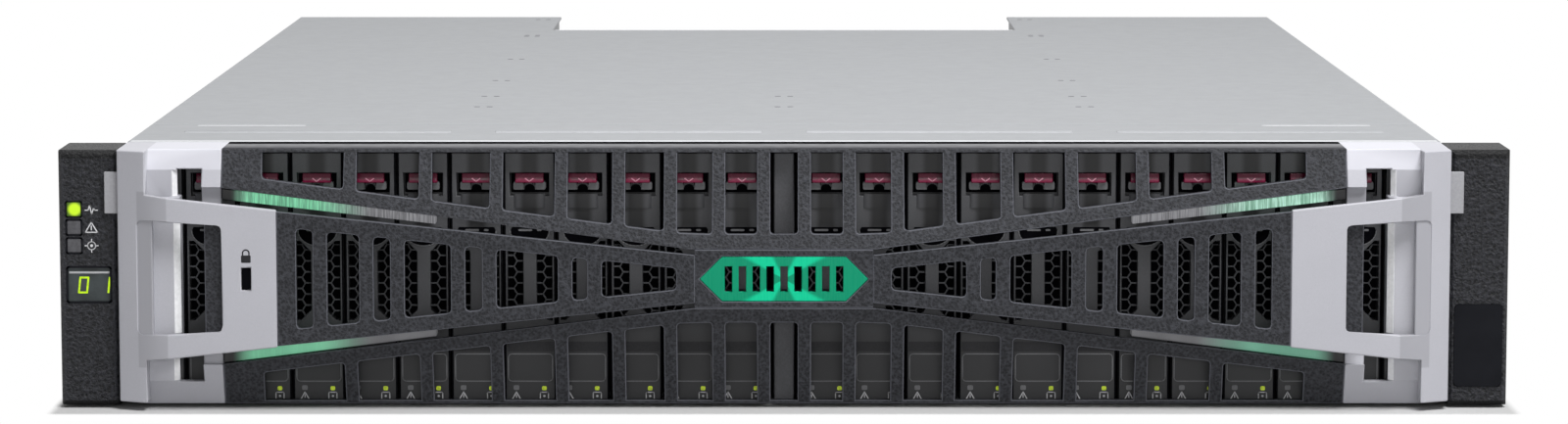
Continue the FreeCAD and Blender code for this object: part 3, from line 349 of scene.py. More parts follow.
def sheet_steel(name="sheet_steel", amount=1.0, roughness=0.54):
    """Zinc-coated steel: faint spangle, fine rolling lines, slight unevenness."""
    made = Finish(name, [part * amount for part in colours().sheet], roughness, metallic=0.4)
    lines = made.noise(90.0, 5.0, 0.65, stretch=(1.0, 26.0, 26.0))
    made.vary(made.blend(made.noise(190.0, 4.0, 0.6), 0.55, lines, 0.45), 0.94, 1.05)
    made.rough(lines, roughness - 0.05, roughness + 0.06)
    made.bump(made.noise(14.0, 2.0, 0.4), 0.15, 0.0006)
    made.bump(lines, 0.06, 0.00005)
    return made


# Where the castings' painted light changes, each over a narrow range in metres: the painted highlight on
# the head between its outer end and its foot, and the painted shade on the arm between its ends,
# before its back and up to its rise
HIGHLIGHT_END, HIGHLIGHT_FOOT = (0.2112, 0.2116), (0.0800, 0.0806)
ARM_SHADE_START, ARM_SHADE_END = (0.2038, 0.2043), (0.2142, 0.2146)
ARM_SHADE_BACK, ARM_SHADE_RISE = (-0.3148, -0.3142), (0.0292, 0.0296)


def silver_paint():
    """Silver paint on the castings: fine flake, slight orange peel, a painted highlight on the heads, painted
    shade on the arms.
    """
    made = Finish("silver_paint", colours().paint, 0.42, specular=0.4)
    flake = made.noise(5200.0, 2.0, 0.7)
    cloud = made.blend(flake, 0.7, made.noise(28.0, 3.0, 0.5), 0.3)
    plain = made.mix(made.between(cloud), made.shade(0.93), made.shade(1.06))
    reach, height = made.away(made.axis("X")), made.axis("Z")
    # painted highlight: the upward-facing heads made paler, as if lit from above
    head = made.times(made.under(reach, *HIGHLIGHT_END), made.between(height, *HIGHLIGHT_FOOT))
    rise = made.away(height, middle("end_casting_left").z)
    # painted shade: the arms' slanted facets made darker, as if turned from the light
    arm = made.times(made.between(reach, *ARM_SHADE_START), made.under(reach, *ARM_SHADE_END))
    arm = made.times(arm, made.under(made.axis("Y"), *ARM_SHADE_BACK), made.under(rise, *ARM_SHADE_RISE))
    made.tint(made.mix(arm, made.mix(head, plain, made.shade(1.26)), made.shade(0.80)))
    made.rough(flake, 0.36, 0.48)
    made.bump(made.noise(900.0, 2.0, 0.5), 0.10, 0.00005)
    return made


def grained(name, base, roughness, grain, depth, speck, strength, specular=0.2, rubbed=1.0, below=1.0):
    """Moulded plastic with an even sand grain; below a height its eased edges may take a painted highlight.
    """
    made = Finish(name, base, roughness, specular=specular)
    sand = made.noise(grain, 3.0, 0.62)
    relief = made.blend(sand, 0.6, made.cells(grain * 0.55), 0.5)
    flat = made.vary(relief, 1.0 - speck, 1.0 + speck, 0.3, 0.75)
    if rubbed > 1.0:
        # painted highlight: the eased edges below the height made paler, as if catching the light
        painted_light = made.times(made.rounds(), made.under(made.axis("Z"), below - 0.0005, below))
        made.tint(made.mix(painted_light, flat, made.shade(rubbed)))
    made.rough(sand, roughness - 0.08, roughness + 0.10)
    made.bump(relief, strength, depth)
    return made


def grille_plastic():
    """Dark sand-grained plastic of the grille, wings and hub, with a painted highlight on its eased edges
    below the top.
    """
    below = high("grille_upper").z - 0.001
    # 3.2: the eased edges below the top made paler, a painted highlight
    return grained("grille_plastic", colours().grille, 0.5, 1900.0, 0.0005, 0.6, 0.9, 0.16, 3.2, below)


def ear_plastic():
    """Nearly black plastic with a coarse leather grain and a painted highlight on its eased edges, darker
    along its top and its sill.
    """
    # 1.6: the eased edges made paler, a painted highlight
    made = grained("ear_plastic", colours().ear, 0.44, 1500.0, 0.0012, 0.75, 1.0, 0.22, 1.6)
    grain = made.shader.inputs["Base Color"].links[0].from_socket
    foot, head = low("ear_cover_left").z, high("ear_cover_left").z
    top = made.between(made.axis("Z"), head - 0.0032, head - 0.0026)
    sill = made.under(made.axis("Z"), foot + 0.0014, foot + 0.0020)
    made.tint(made.mix(made.maths("MAXIMUM", top, sill), grain, made.shade(0.22)))
    return made


def carrier_plastic():
    """Smooth dark plastic of the drive fronts, with a painted dark reflection down each front's middle and
    painted shade toward its foot.
    """
    made = Finish("carrier_plastic", colours().carrier, 0.42, specular=0.25)
    sized, height = sizes(), made.axis("Z")
    along = made.maths("SUBTRACT", made.away(made.axis("X")), sized.bay_first)
    place = made.maths("FRACT", made.maths("ADD", made.maths("DIVIDE", along, sized.bay_pitch), 0.5))
    # painted reflection: a soft dark band down the middle of each front, above the lower part
    painted_reflection = made.between(made.away(place, 0.5), 0.09, 0.23)
    lower = made.under(height, 0.056, 0.062)
    sand = made.noise(3800.0, 3.0, 0.62)
    plain = made.mix(made.between(sand), made.shade(0.88), made.shade(1.12))
    # painted shade: the fronts made darker toward their foot
    painted_light = made.mix(made.between(height, 0.018, 0.040), made.shade(0.34), plain)
    made.tint(made.mix(made.maths("MAXIMUM", painted_reflection, lower), made.shade(0.16), painted_light))
    made.rough(sand, 0.36, 0.50)
    made.bump(sand, 0.3, 0.00006)
    return made


def painted_lip_reflection():
    """Dark plastic on top of the bezel's lip with a painted reflection, paler toward its back."""
    made = Finish("painted_lip_reflection", (0.030, 0.031, 0.036), 0.7, specular=0.0)
    back = high("grille_upper").y
    haze = made.between(made.noise(900.0, 3.0, 0.6, stretch=(0.3, 1.0, 1.0)))
    dark = made.mix(haze, (0.020, 0.020, 0.024), (0.042, 0.042, 0.049))
    pale = made.mix(haze, (0.17, 0.17, 0.178), (0.24, 0.24, 0.25))
    # painted reflection: dark toward the front of the lip, pale toward its back
    made.tint(made.mix(made.between(made.axis("Y"), back - 0.026, back - 0.011), dark, pale))
    return made


def red_button():
    """Clear wine-red plastic with painted light: painted shade toward its upper edge, a painted highlight
    lower down.
    """
    made = Finish("red_button", colours().button, 0.3, specular=0.2)
    cloud = made.noise(420.0, 3.0, 0.5)
    top, tall = high("release_buttons").z, 0.0032
    # painted light on the dome: lighter low down, darker toward the top
    rise = made.between(made.axis("Z"), top - tall, top - 0.3 * tall, 0.35, -0.35)
    made.vary(made.maths("ADD", cloud, rise), 0.5, 1.5)
    made.rough(cloud, 0.18, 0.30)
    return made


def light_bar():
    """Frosted bar: dark at its lamp, then green with fine striations, then pale frost; the lower bars get
    darker copies, painted shade.
    """
    made = Finish("light_bar", (0.20, 0.20, 0.21), 0.35, specular=0.3)
    black = (0.0, 0.0, 0.0)
    end, level = high("light_bars").x, middle("light_bars").z
    reach = made.away(made.axis("X"))
    upper = made.between(made.axis("Z"), level - 0.001, level + 0.001)
    lit = made.between(reach, 0.136, 0.158)
    shade = made.between(reach, end - 10.5 * MM, end - 2.6 * MM)
    stripes = made.noise(75.0, 3.0, 0.7, stretch=(24.0, 1.0, 1.0))
    lines = made.between(stripes, 0.36, 0.64, 0.2, 1.0)
    lines = made.maths("MAXIMUM", lines, made.maths("SUBTRACT", 0.8, upper))
    right = made.between(made.axis("X"), -0.001, 0.001)
    bright = made.mix(made.times(right, upper), colours().glow, (0.40, 0.66, 0.54))
    # dim: darker greens for the lower bars, painted shade
    dim = made.mix(right, (0.125, 0.37, 0.225), (0.10, 0.25, 0.18))
    bright = made.mix(upper, dim, bright)
    green = made.mix(lines, [part * 0.35 for part in colours().glow], bright)
    # the lower bars' frost darker as well, painted shade
    pale = made.mix(upper, (0.09, 0.09, 0.095), (0.24, 0.24, 0.255))
    frost = made.mix(lines, (0.08, 0.08, 0.085), pale)
    made.tint(made.mix(shade, made.mix(lit, frost, green), (0.012, 0.012, 0.013)))
    shining = made.times(lit, made.maths("SUBTRACT", 1.0, shade))
    made.glow(made.mix(shining, made.mix(shade, frost, black), green), 0.7)
    made.bump(stripes, 0.25, 0.0002)
    return made


def hub_green():
    """Bright green insert with a painted highlight in diagonal wedges from its middle."""
    made = Finish("hub_green", colours().insert, 0.32, specular=0.12)
    rise = made.away(made.axis("Z"), middle("hub_insert").z)
    slope = made.maths("DIVIDE", made.away(made.axis("X")), made.maths("MAXIMUM", rise, 0.0005))
    # painted highlight: diagonal wedges from the middle made paler
    made.vary(made.times(made.between(slope), made.under(slope, 1.4, 2.2)), 1.0, 2.1, 0.0, 1.0)
    made.rough(made.noise(60.0, 4.0, 0.6, stretch=(30.0, 1.0, 1.0)), 0.22, 0.34)
    return made


def status_lens():
    """Three square lenses: the top one lit from within, the others smoky."""
    made = Finish("status_lens", (0.07, 0.07, 0.075), 0.3, specular=0.3)
    lens_low, lens_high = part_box("status_lenses")
    size, height = lens_high.x - lens_low.x, made.axis("Z")
    across = made.maths("SUBTRACT", made.axis("X"), lens_low.x + size * 0.56)
    rise = made.maths("SUBTRACT", height, lens_high.z - size * 0.5)
    square = made.maths("ADD", made.maths("POWER", across, 2.0), made.maths("POWER", rise, 2.0))
    core = made.under(made.maths("SQRT", square), size * 0.30, size * 0.58)
    lit = made.between(height, lens_high.z - size * 1.3, lens_high.z - size * 1.1)
    cloud = made.between(made.noise(700.0, 3.0, 0.5))
    smoke = made.mix(cloud, (0.058, 0.058, 0.064), (0.085, 0.085, 0.093))
    made.tint(made.mix(lit, smoke, (0.03, 0.05, 0.01)))
    shine = made.mix(core, (0.04, 0.09, 0.002), colours().lamp)
    made.glow(made.mix(lit, (0.0, 0.0, 0.0), shine), 0.95)
    return made


def lit_digit():
    """Glowing digit segments of the display."""
    made = Finish("lit_digit", (0.03, 0.05, 0.01), 0.3, specular=0.2)
    warm = [part * 0.75 for part in colours().lamp]
    made.glow(made.mix(made.between(made.noise(900.0, 2.0, 0.5)), warm, colours().lamp), 1.0)
    return made


def green_lamp():
    """Small green lamps."""
    made = Finish("green_lamp", (0.36, 0.46, 0.02), 0.25, specular=0.3)
    made.glow(made.vary(made.noise(1500.0, 2.0, 0.5), 0.7, 1.1), 0.4)
    return made


def circuit_green():
    """Circuit board lacquer with faint copper runs."""
    made = Finish("circuit_green", (0.02, 0.12, 0.05), 0.35, coat=0.3)
    runs = made.add("ShaderNodeTexBrick")
    made.link(made.stretch((160.0, 160.0, 160.0)), runs.inputs["Vector"])
    made.tint(made.mix(runs.outputs["Fac"], (0.018, 0.11, 0.045), (0.03, 0.17, 0.07)))
    made.bump(runs.outputs["Fac"], 0.2, 0.0001)
    return made


def drive_metal():
    """Cast alloy of the drives, black-coated toward the front."""
    made = Finish("drive_metal", (0.46, 0.47, 0.49), 0.38, metallic=0.8)
    front = low("drive_modules").y
    grain = made.noise(600.0, 4.0, 0.6)
    metal = made.mix(made.between(grain), (0.40, 0.41, 0.43), (0.52, 0.53, 0.55))
    bare = made.between(made.axis("Y"), front + 0.001, front + 0.004)
    made.tint(made.mix(bare, (0.006, 0.006, 0.007), metal))
    made.rough(grain, 0.32, 0.48)
    return made


# Plain plastics with a sand grain: colour, roughness, grain, its depth, speck, strength and specular
GRAINED = {
    "pad_plastic": ((0.14, 0.141, 0.148), 0.5, 3800.0, 0.00005, 0.10, 0.3),
    "vent_plastic": ((0.070, 0.071, 0.076), 0.6, 3800.0, 0.00005, 0.10, 0.3, 0.05),
    "black_plastic": ((0.012, 0.012, 0.014), 0.48, 2600.0, 0.0001, 0.25, 0.35),
    "divider_plastic": ((0.080, 0.081, 0.088), 0.45, 3000.0, 0.00008, 0.12, 0.3),
    "tab_plastic": ((0.32, 0.32, 0.34), 0.48, 2600.0, 0.00008, 0.06, 0.3),
    "lever_plastic": ((0.03, 0.034, 0.045), 0.42, 2600.0, 0.0001, 0.18, 0.35),
}

# Finishes that run with one noise: colour, roughness, metallic, specular, the noise, two shades and,
# where it varies, the range of roughness
MOTTLED = {
    "gloss_black": ((0.008, 0.0085, 0.011), 0.2, 0.0, 0.06, (60.0, 4.0, 0.6), (0.9, 1.15), (0.16, 0.26)),
    # black for painted shade in holes, slots, gaps and recesses
    "deep_black": ((0.003, 0.003, 0.004), 0.9, 0.0, 0.0, (300.0,), (0.8, 1.2), None),
    "pale_print": ((0.62, 0.62, 0.64), 0.6, 0.0, 0.5, (2500.0,), (0.92, 1.04), None),
    # pale print for the drive signs, and for the display's painted reflection
    "soft_print": ((0.50, 0.50, 0.52), 0.6, 0.0, 0.5, (2500.0,), (0.92, 1.04), None),
    "rose_print": ((0.55, 0.22, 0.30), 0.5, 0.0, 0.5, (2500.0,), (0.92, 1.04), None),
    "display_glass": ((0.036, 0.044, 0.046), 0.16, 0.0, 0.25, (160.0, 3.0, 0.5), (0.7, 1.3), (0.07, 0.14)),
    "port_metal": (
        (0.62, 0.61, 0.58), 0.24, 0.95, 0.5, (1400.0, 3.0, 0.6, (1.0, 6.0, 1.0)), (0.9, 1.06), (0.18, 0.32),
    ),
    "gold_contact": ((0.75, 0.50, 0.14), 0.28, 1.0, 0.5, (2000.0,), (0.9, 1.08), None),
    "screw_steel": ((0.55, 0.55, 0.57), 0.30, 0.95, 0.5, (3200.0, 3.0, 0.6), (0.85, 1.1), (0.22, 0.38)),
    # darker steel for the floor rivets, and for the painted shade along the cover's seam and notch
    "worn_rivet": ((0.30, 0.31, 0.325), 0.5, 0.35, 0.5, (1800.0,), (0.85, 1.1), None),
    # pale steel for painted highlights on the sheets' beads, edges and hem
    "bright_edge": ((0.56, 0.57, 0.59), 0.45, 0.3, 0.5, (900.0,), (0.93, 1.05), None),
    # pale paint for the painted highlights on the grips' beads
    "rubbed_bead": ((0.84, 0.84, 0.86), 0.4, 0.0, 0.4, (700.0, 3.0, 0.6), (0.94, 1.05), None),
    "seam_shade": ((0.05, 0.05, 0.055), 0.7, 0.0, 0.5, (800.0,), (0.8, 1.2), None),
}


def mottled(name, base, roughness, metallic, specular, noise, shades, roughs):
    """A plain finish whose colour, and in some its roughness, runs with a fine noise."""
    made = Finish(name, base, roughness, metallic, specular)
    grain = made.noise(*noise)
    made.vary(grain, *shades)
    if roughs:
        made.rough(grain, *roughs)
    return made


RECIPES = {
    "inner_steel": partial(sheet_steel, "inner_steel", 0.72, 0.46),
    "flange_steel": partial(sheet_steel, "flange_steel", 0.85, 0.42),
}
for maker in (
    sheet_steel, silver_paint, grille_plastic, ear_plastic, carrier_plastic, painted_lip_reflection, red_button,
    light_bar, hub_green, status_lens, lit_digit, green_lamp, circuit_green, drive_metal,
):
    RECIPES[maker.__name__] = maker
for kind, table in ((grained, GRAINED), (mottled, MOTTLED)):
    for key, values in table.items():
        RECIPES[key] = partial(kind, key, *values)


# Mesh and node tree helpers


def shown(name, mesh, material, body):
    """A finished piece: its mesh in a new object, with its material, riding on a body."""
    obj = scene_object(name, mesh)
    mesh.materials.clear()
    mesh.materials.append(finish(material))
    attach(obj, body)
    return obj


def scene_object(name, data):
    """A mesh, light or camera as an object of the scene."""
    obj = bpy.data.objects.new(name, data)
    bpy.context.scene.collection.objects.link(obj)
    return obj


def plain_mesh(obj):
    """The evaluated shape of an object as a plain mesh; the object goes."""
    depsgraph = bpy.context.evaluated_depsgraph_get()
    result = bpy.data.meshes.new_from_object(obj.evaluated_get(depsgraph))
    bpy.data.objects.remove(obj)
    return result


def smooth(mesh, angle=32.0):
    """Smooth shading that keeps edges sharper than the angle."""
    mesh.shade_smooth()
    mesh.set_sharp_from_angle(angle=math.radians(angle))
    return mesh


def mesh_of(name, work, angle=32.0):
    """Turns a bmesh into a plain mesh and frees it."""
    bmesh.ops.recalc_face_normals(work, faces=work.faces)
    mesh = bpy.data.meshes.new(name)
    work.to_mesh(mesh)
    work.free()
    return smooth(mesh, angle)


def piece(name, work, material, body="chassis"):
    """A finished piece made of a bmesh."""
    return shown(name, mesh_of(name, work), material, body)


def add_slab(work, outline, near, far, place):
    """A slab with a flat outline: place(u, v, depth) gives each corner."""
    front = [work.verts.new(place(u, v, near)) for u, v in outline]
    back = [work.verts.new(place(u, v, far)) for u, v in outline]
    work.faces.new(front)
    work.faces.new(list(reversed(back)))
    for i in range(len(outline)):
        j = (i + 1) % len(outline)
        work.faces.new((front[j], front[i], back[i], back[j]))


def slabs(place, outlines, near, far, work=None):
    """Slabs with flat outlines between two depths."""
    work = work or bmesh.new()
    for outline in outlines:
        add_slab(work, outline, near, far, place)
    return work


# Slabs with outlines in XZ, in XY and in YZ
front_slabs = partial(slabs, lambda u, v, depth: (u, depth, v))
top_slabs = partial(slabs, lambda u, v, depth: (u, v, depth))
side_slabs = partial(slabs, lambda u, v, depth: (depth, u, v))


def oblong(left, right, foot, head):
    """Outline of a rectangle."""
    return [(left, foot), (right, foot), (right, head), (left, head)]


def rounded(width, height, radius, steps, centre):
    """Outline of a rectangle with rounded corners."""
    points = []
    for quarter, (sx, sy) in enumerate(((1, 1), (-1, 1), (-1, -1), (1, -1))):
        for i in range(steps + 1):
            angle = math.radians(90 * quarter + 90.0 * i / steps)
            x = centre[0] + sx * (width / 2 - radius) + radius * math.cos(angle)
            y = centre[1] + sy * (height / 2 - radius) + radius * math.sin(angle)
            points.append((x, y))
    return points


def ring_outline(radius, steps, centre=(0.0, 0.0)):
    """Outline of a circle."""
    turns = [2 * math.pi * i / steps for i in range(steps)]
    return [(centre[0] + radius * math.cos(a), centre[1] + radius * math.sin(a)) for a in turns]


def stroke(points, width, closed=False):
    """Short straight strips along a line of points, as flat outlines."""
    pairs = list(zip(points, points[1:] + points[:1])) if closed else list(zip(points, points[1:]))
    strips = []
    for (ax, ay), (bx, by) in pairs:
        run = math.hypot(bx - ax, by - ay)
        ex, ey = (bx - ax) / run * width / 2, (by - ay) / run * width / 2
        start, end = (ax - ex * 0.6, ay - ey * 0.6), (bx + ex * 0.6, by + ey * 0.6)
        strips.append([
            (start[0] + ey, start[1] - ex), (end[0] + ey, end[1] - ex),
            (end[0] - ey, end[1] + ex), (start[0] - ey, start[1] + ex),
        ])
    return strips


def flat_faced(mesh):
    """The mesh with normals that keep its large faces flat and run only along its eased edges."""
    obj = scene_object("flat_faced", mesh)
    modifier = obj.modifiers.new("flat_faced", "WEIGHTED_NORMAL")
    modifier.weight = 100
    modifier.keep_sharp = True
    return plain_mesh(obj)


def seated(edge, node):
    """Whether an edge runs along the outline of a node seen from the front."""
    corner, other = low(node), high(node)
    spare = 0.5 * MM
    return all(
        corner.x - spare < vert.co.x < other.x + spare and corner.z - spare < vert.co.z < other.z + spare
        for vert in edge.verts
    )


# Outer edges sharper than the first angle are eased; edges sharper than the second stay creases
EASED_ANGLE = math.radians(38.0)
CREASE_ANGLE = math.radians(18.0)


def eased(node, width, material, seat=None, ledge=0.0):
    """A merged copy of a CAD node with its outer edges eased, shown in place of the node.

    The edges of a seat, where another node lies in this one, and of faces narrower than a ledge
    stay sharp.
    """
    work = bmesh.new()
    work.from_mesh(NODES[node].data)
    layer = work.faces.layers.float.new("eased")
    bmesh.ops.remove_doubles(work, verts=work.verts, dist=2e-6)
    bmesh.ops.dissolve_limit(
        work, angle_limit=math.radians(0.5), use_dissolve_boundaries=False, verts=work.verts, edges=work.edges
    )
    ledges = {face for face in work.faces if 2.0 * face.calc_area() < ledge * face.calc_perimeter()}
    sharp = [
        edge
        for edge in work.edges
        if len(edge.link_faces) == 2 and edge.calc_face_angle_signed(0.0) > EASED_ANGLE
        and not ledges.intersection(edge.link_faces) and not (seat and seated(edge, seat))
    ]
    for edge in set(work.edges).difference(sharp):
        edge.smooth = len(edge.link_faces) < 2 or edge.calc_face_angle(0.0) < CREASE_ANGLE
    rounds = bmesh.ops.bevel(
        work, geom=sharp, offset=width, offset_type="OFFSET", segments=2, profile=0.5,
        affect="EDGES", clamp_overlap=False, loop_slide=True, material=-1,
    )
    for face in rounds["faces"]:
        face[layer] = 1.0
    mesh = bpy.data.meshes.new(node + "_eased")
    work.to_mesh(mesh)
    work.free()
    mesh.polygons.foreach_set("use_smooth", [True] * len(mesh.polygons))
    obj = shown(node + "_eased", flat_faced(mesh), material, NODES[node]["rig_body"])
    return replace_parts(obj, node)


def paint(material, *nodes):
    """Gives CAD nodes that stay visible their material."""
    for node in nodes:
        NODES[node].data.materials.clear()
        NODES[node].data.materials.append(finish(material))


class NodeTree:
    """A geometry node tree with named inputs, built step by step."""

    KINDS = {float: "NodeSocketFloat", int: "NodeSocketInt", Vector: "NodeSocketVector"}

    def __init__(self, name, **inputs):
        self.group = bpy.data.node_groups.new(name, "GeometryNodeTree")
        face = self.group.interface
        face.new_socket("Geometry", in_out="INPUT", socket_type="NodeSocketGeometry")
        for key, value in inputs.items():
            if isinstance(value, str):
                face.new_socket(key, in_out="INPUT", socket_type=value)
            else:
                socket = face.new_socket(key, in_out="INPUT", socket_type=self.KINDS[type(value)])
                socket.default_value = value
        face.new_socket("Material", in_out="INPUT", socket_type="NodeSocketMaterial")
        face.new_socket("Geometry", in_out="OUTPUT", socket_type="NodeSocketGeometry")
        self.start = self.group.nodes.new("NodeGroupInput")

    def given(self, name):
        """One of the tree's named inputs."""
        return self.start.outputs[name]

    def add(self, kind, values=None, **settings):
        """A new node; values are plain or sockets, by input name or number."""
        node = self.group.nodes.new(kind)
        for key, value in settings.items():
            setattr(node, key, value)
        for key, value in (values or {}).items():
            if isinstance(value, bpy.types.NodeSocket):
                self.group.links.new(value, node.inputs[key])
            else:
                node.inputs[key].default_value = value
        return node

    def maths(self, operation, first, second=0.0):
        """One arithmetic step."""
        return self.add("ShaderNodeMath", {0: first, 1: second}, operation=operation).outputs[0]

    def vector(self, x=0.0, y=0.0, z=0.0):
        """A vector from three numbers or sockets."""
        return self.add("ShaderNodeCombineXYZ", {"X": x, "Y": y, "Z": z}).outputs[0]

    def close(self, geometry):
        """Ends the tree: real mesh, material, output."""
        real = self.add("GeometryNodeRealizeInstances", {"Geometry": geometry}).outputs[0]
        values = {"Geometry": real, "Material": self.given("Material")}
        painted = self.add("GeometryNodeSetMaterial", values).outputs[0]
        self.group.links.new(painted, self.group.nodes.new("NodeGroupOutput").inputs["Geometry"])
        return self

    def mesh(self, name, material, points=None, **values):
        """Runs the tree once and returns its result as a plain mesh."""
        obj = scene_object(name, points or bpy.data.meshes.new(name))
        modifier = obj.modifiers.new(self.group.name, "NODES")
        modifier.node_group = self.group
        values["Material"] = finish(material)
        for item in self.group.interface.items_tree:
            if item.in_out == "INPUT" and item.name in values:
                modifier[item.identifier] = values[item.name]
        obj.update_tag()
        return smooth(plain_mesh(obj))

    def grow(self, name, material, body, points=None, **values):
        """Runs the tree and shows its result as a finished piece."""
        return shown(name, self.mesh(name, material, points, **values), material, body)


# Node trees for what repeats


def bay_row_tree():
    """One fitting set before every drive bay, on both sides of the divider."""
    tree = NodeTree("bay_row", Fitting="NodeSocketObject", First=0.014, Pitch=0.0177, Bays=12)
    rows = []
    for sense in (1.0, -1.0):
        first = tree.maths("MULTIPLY", tree.given("First"), sense)
        step = tree.maths("MULTIPLY", tree.given("Pitch"), sense)
        values = {"Start Location": tree.vector(first), "Offset": tree.vector(step)}
        values["Count"] = tree.given("Bays")
        rows.append(tree.add("GeometryNodeMeshLine", values).outputs[0])
    both = tree.add("GeometryNodeJoinGeometry")
    for row in rows:
        tree.group.links.new(row, both.inputs[0])
    fitting = tree.add("GeometryNodeObjectInfo", {"Object": tree.given("Fitting")}).outputs["Geometry"]
    placed = tree.add("GeometryNodeInstanceOnPoints", {"Points": both.outputs[0], "Instance": fitting})
    return tree.close(placed.outputs[0])


def honeycomb_tree():
    """A panel of open hexagonal cells with level tops, upright in XZ, without its middle column."""
    tree = NodeTree(
        "honeycomb", Cell=0.0037, Wall=0.0005, Depth=0.001, Columns=5, Rows=7, Clear=0.001,
        Middle=Vector((0.0, 0.0, 0.0)),
    )
    cell, rows = tree.given("Cell"), tree.given("Rows")
    aside = tree.maths("MULTIPLY", cell, math.sqrt(3.0) / 2.0)
    values = {
        "Size X": tree.maths("MULTIPLY", aside, tree.maths("SUBTRACT", tree.given("Columns"), 1.0)),
        "Size Y": tree.maths("MULTIPLY", cell, tree.maths("SUBTRACT", rows, 1.0)),
        "Vertices X": tree.given("Columns"),
        "Vertices Y": rows,
    }
    grid = tree.add("GeometryNodeMeshGrid", values).outputs["Mesh"]
    place = tree.add("GeometryNodeInputPosition").outputs[0]
    across = tree.add("ShaderNodeSeparateXYZ", {0: place}).outputs["X"]
    hidden = tree.maths("LESS_THAN", tree.maths("ABSOLUTE", across), tree.given("Clear"))
    column = tree.maths("FLOOR", tree.maths("DIVIDE", tree.add("GeometryNodeInputIndex").outputs[0], rows))
    odd = tree.maths("MODULO", column, 2.0)
    rise = tree.maths("MULTIPLY", tree.maths("SUBTRACT", odd, 0.5), tree.maths("MULTIPLY", cell, 0.5))
    values = {"Geometry": grid, "Offset": tree.vector(0.0, rise)}
    staggered = tree.add("GeometryNodeSetPosition", values).outputs[0]
    kept = tree.add("GeometryNodeDeleteGeometry", {"Geometry": staggered, "Selection": hidden}).outputs[0]
    half = tree.maths("MULTIPLY", tree.given("Wall"), 0.5)
    inset = tree.maths("SUBTRACT", tree.maths("MULTIPLY", cell, 0.5), tree.maths("MULTIPLY", half, 0.5))
    radius = tree.maths("MULTIPLY", inset, 2.0 / math.sqrt(3.0))
    loop = tree.add("GeometryNodeCurvePrimitiveCircle", {"Resolution": 6, "Radius": radius}).outputs["Curve"]
    profile = tree.add(
        "GeometryNodeCurvePrimitiveQuadrilateral", {"Width": half, "Height": tree.given("Depth")}
    ).outputs[0]
    ring = tree.add("GeometryNodeCurveToMesh", {"Curve": loop, "Profile Curve": profile}).outputs[0]
    cells = tree.add("GeometryNodeInstanceOnPoints", {"Points": kept, "Instance": ring}).outputs[0]
    values = {"Geometry": cells, "Translation": tree.given("Middle"), "Rotation": (math.pi / 2, 0.0, 0.0)}
    return tree.close(tree.add("GeometryNodeTransform", values).outputs[0])


def heads_tree():
    """One fitting on every point of a mesh, turned to the point's facing."""
    tree = NodeTree("heads", Fitting="NodeSocketObject")
    named = tree.add("GeometryNodeInputNamedAttribute", {"Name": "facing"}, data_type="FLOAT_VECTOR")
    turn = tree.add("FunctionNodeAlignRotationToVector", {"Vector": named.outputs[0]}, axis="Z").outputs[0]
    fitting = tree.add("GeometryNodeObjectInfo", {"Object": tree.given("Fitting")}).outputs["Geometry"]
    values = {"Points": tree.given("Geometry"), "Instance": fitting, "Rotation": turn}
    return tree.close(tree.add("GeometryNodeInstanceOnPoints", values).outputs[0])


def holes_tree():
    """A staggered field of round vent holes, turned and placed on a sheet."""
    tree = NodeTree(
        "vent_holes", Radius=0.00125, Pitch=0.0033, Columns=10, Rows=3,
        Middle=Vector((0.0, 0.0, 0.0)), Turn=Vector((0.0, 0.0, 0.0)),
    )
    pitch = tree.given("Pitch")
    rise = tree.maths("MULTIPLY", pitch, math.sqrt(3.0) / 2.0)
    values = {
        "Size X": tree.maths("MULTIPLY", pitch, tree.maths("SUBTRACT", tree.given("Columns"), 1.0)),
        "Size Y": tree.maths("MULTIPLY", rise, tree.maths("SUBTRACT", tree.given("Rows"), 1.0)),
        "Vertices X": tree.given("Columns"),
        "Vertices Y": tree.given("Rows"),
    }
    grid = tree.add("GeometryNodeMeshGrid", values).outputs["Mesh"]
    row = tree.maths("MODULO", tree.add("GeometryNodeInputIndex").outputs[0], tree.given("Rows"))
    odd = tree.maths("MODULO", row, 2.0)
    aside = tree.maths("MULTIPLY", tree.maths("SUBTRACT", odd, 0.5), tree.maths("MULTIPLY", pitch, 0.5))
    values = {"Geometry": grid, "Offset": tree.vector(aside)}
    staggered = tree.add("GeometryNodeSetPosition", values).outputs[0]
    values = {"Vertices": 10, "Radius": tree.given("Radius"), "Depth": 0.0001}
    disc = tree.add("GeometryNodeMeshCylinder", values, fill_type="NGON").outputs["Mesh"]
    holes = tree.add("GeometryNodeInstanceOnPoints", {"Points": staggered, "Instance": disc}).outputs[0]
    values = {"Geometry": holes, "Translation": tree.given("Middle"), "Rotation": tree.given("Turn")}
    return tree.close(tree.add("GeometryNodeTransform", values).outputs[0])


TREES = {}


def tree_of(maker):
    """The node tree of a maker, built once."""
    if maker not in TREES:
        TREES[maker] = maker()
    return TREES[maker]


def before_bays(name, mesh, material):
    """Repeats a small fitting before all drive bays."""
    shape = scene_object(name + "_shape", mesh)
    sized = sizes()
    tree_of(bay_row_tree).grow(
        name, material, "chassis",
        Fitting=shape, First=sized.bay_first, Pitch=sized.bay_pitch, Bays=sized.bays,
    )
    bpy.data.objects.remove(shape)


def on_points(name, work, places, facing, material, body="chassis"):
    """Repeats a fitting at places that all face one way, or each the way given with it."""
    shape = scene_object(name + "_shape", mesh_of(name + "_shape", work))
    mesh = bpy.data.meshes.new(name)
    mesh.from_pydata(places, [], [])
    layer = mesh.attributes.new("facing", "FLOAT_VECTOR", "POINT")
    ways = [facing] * len(places) if isinstance(facing, Vector) else facing
    for item, way in zip(layer.data, ways):
        item.vector = way
    tree_of(heads_tree).grow(name, material, body, mesh, Fitting=shape)
    bpy.data.objects.remove(shape)


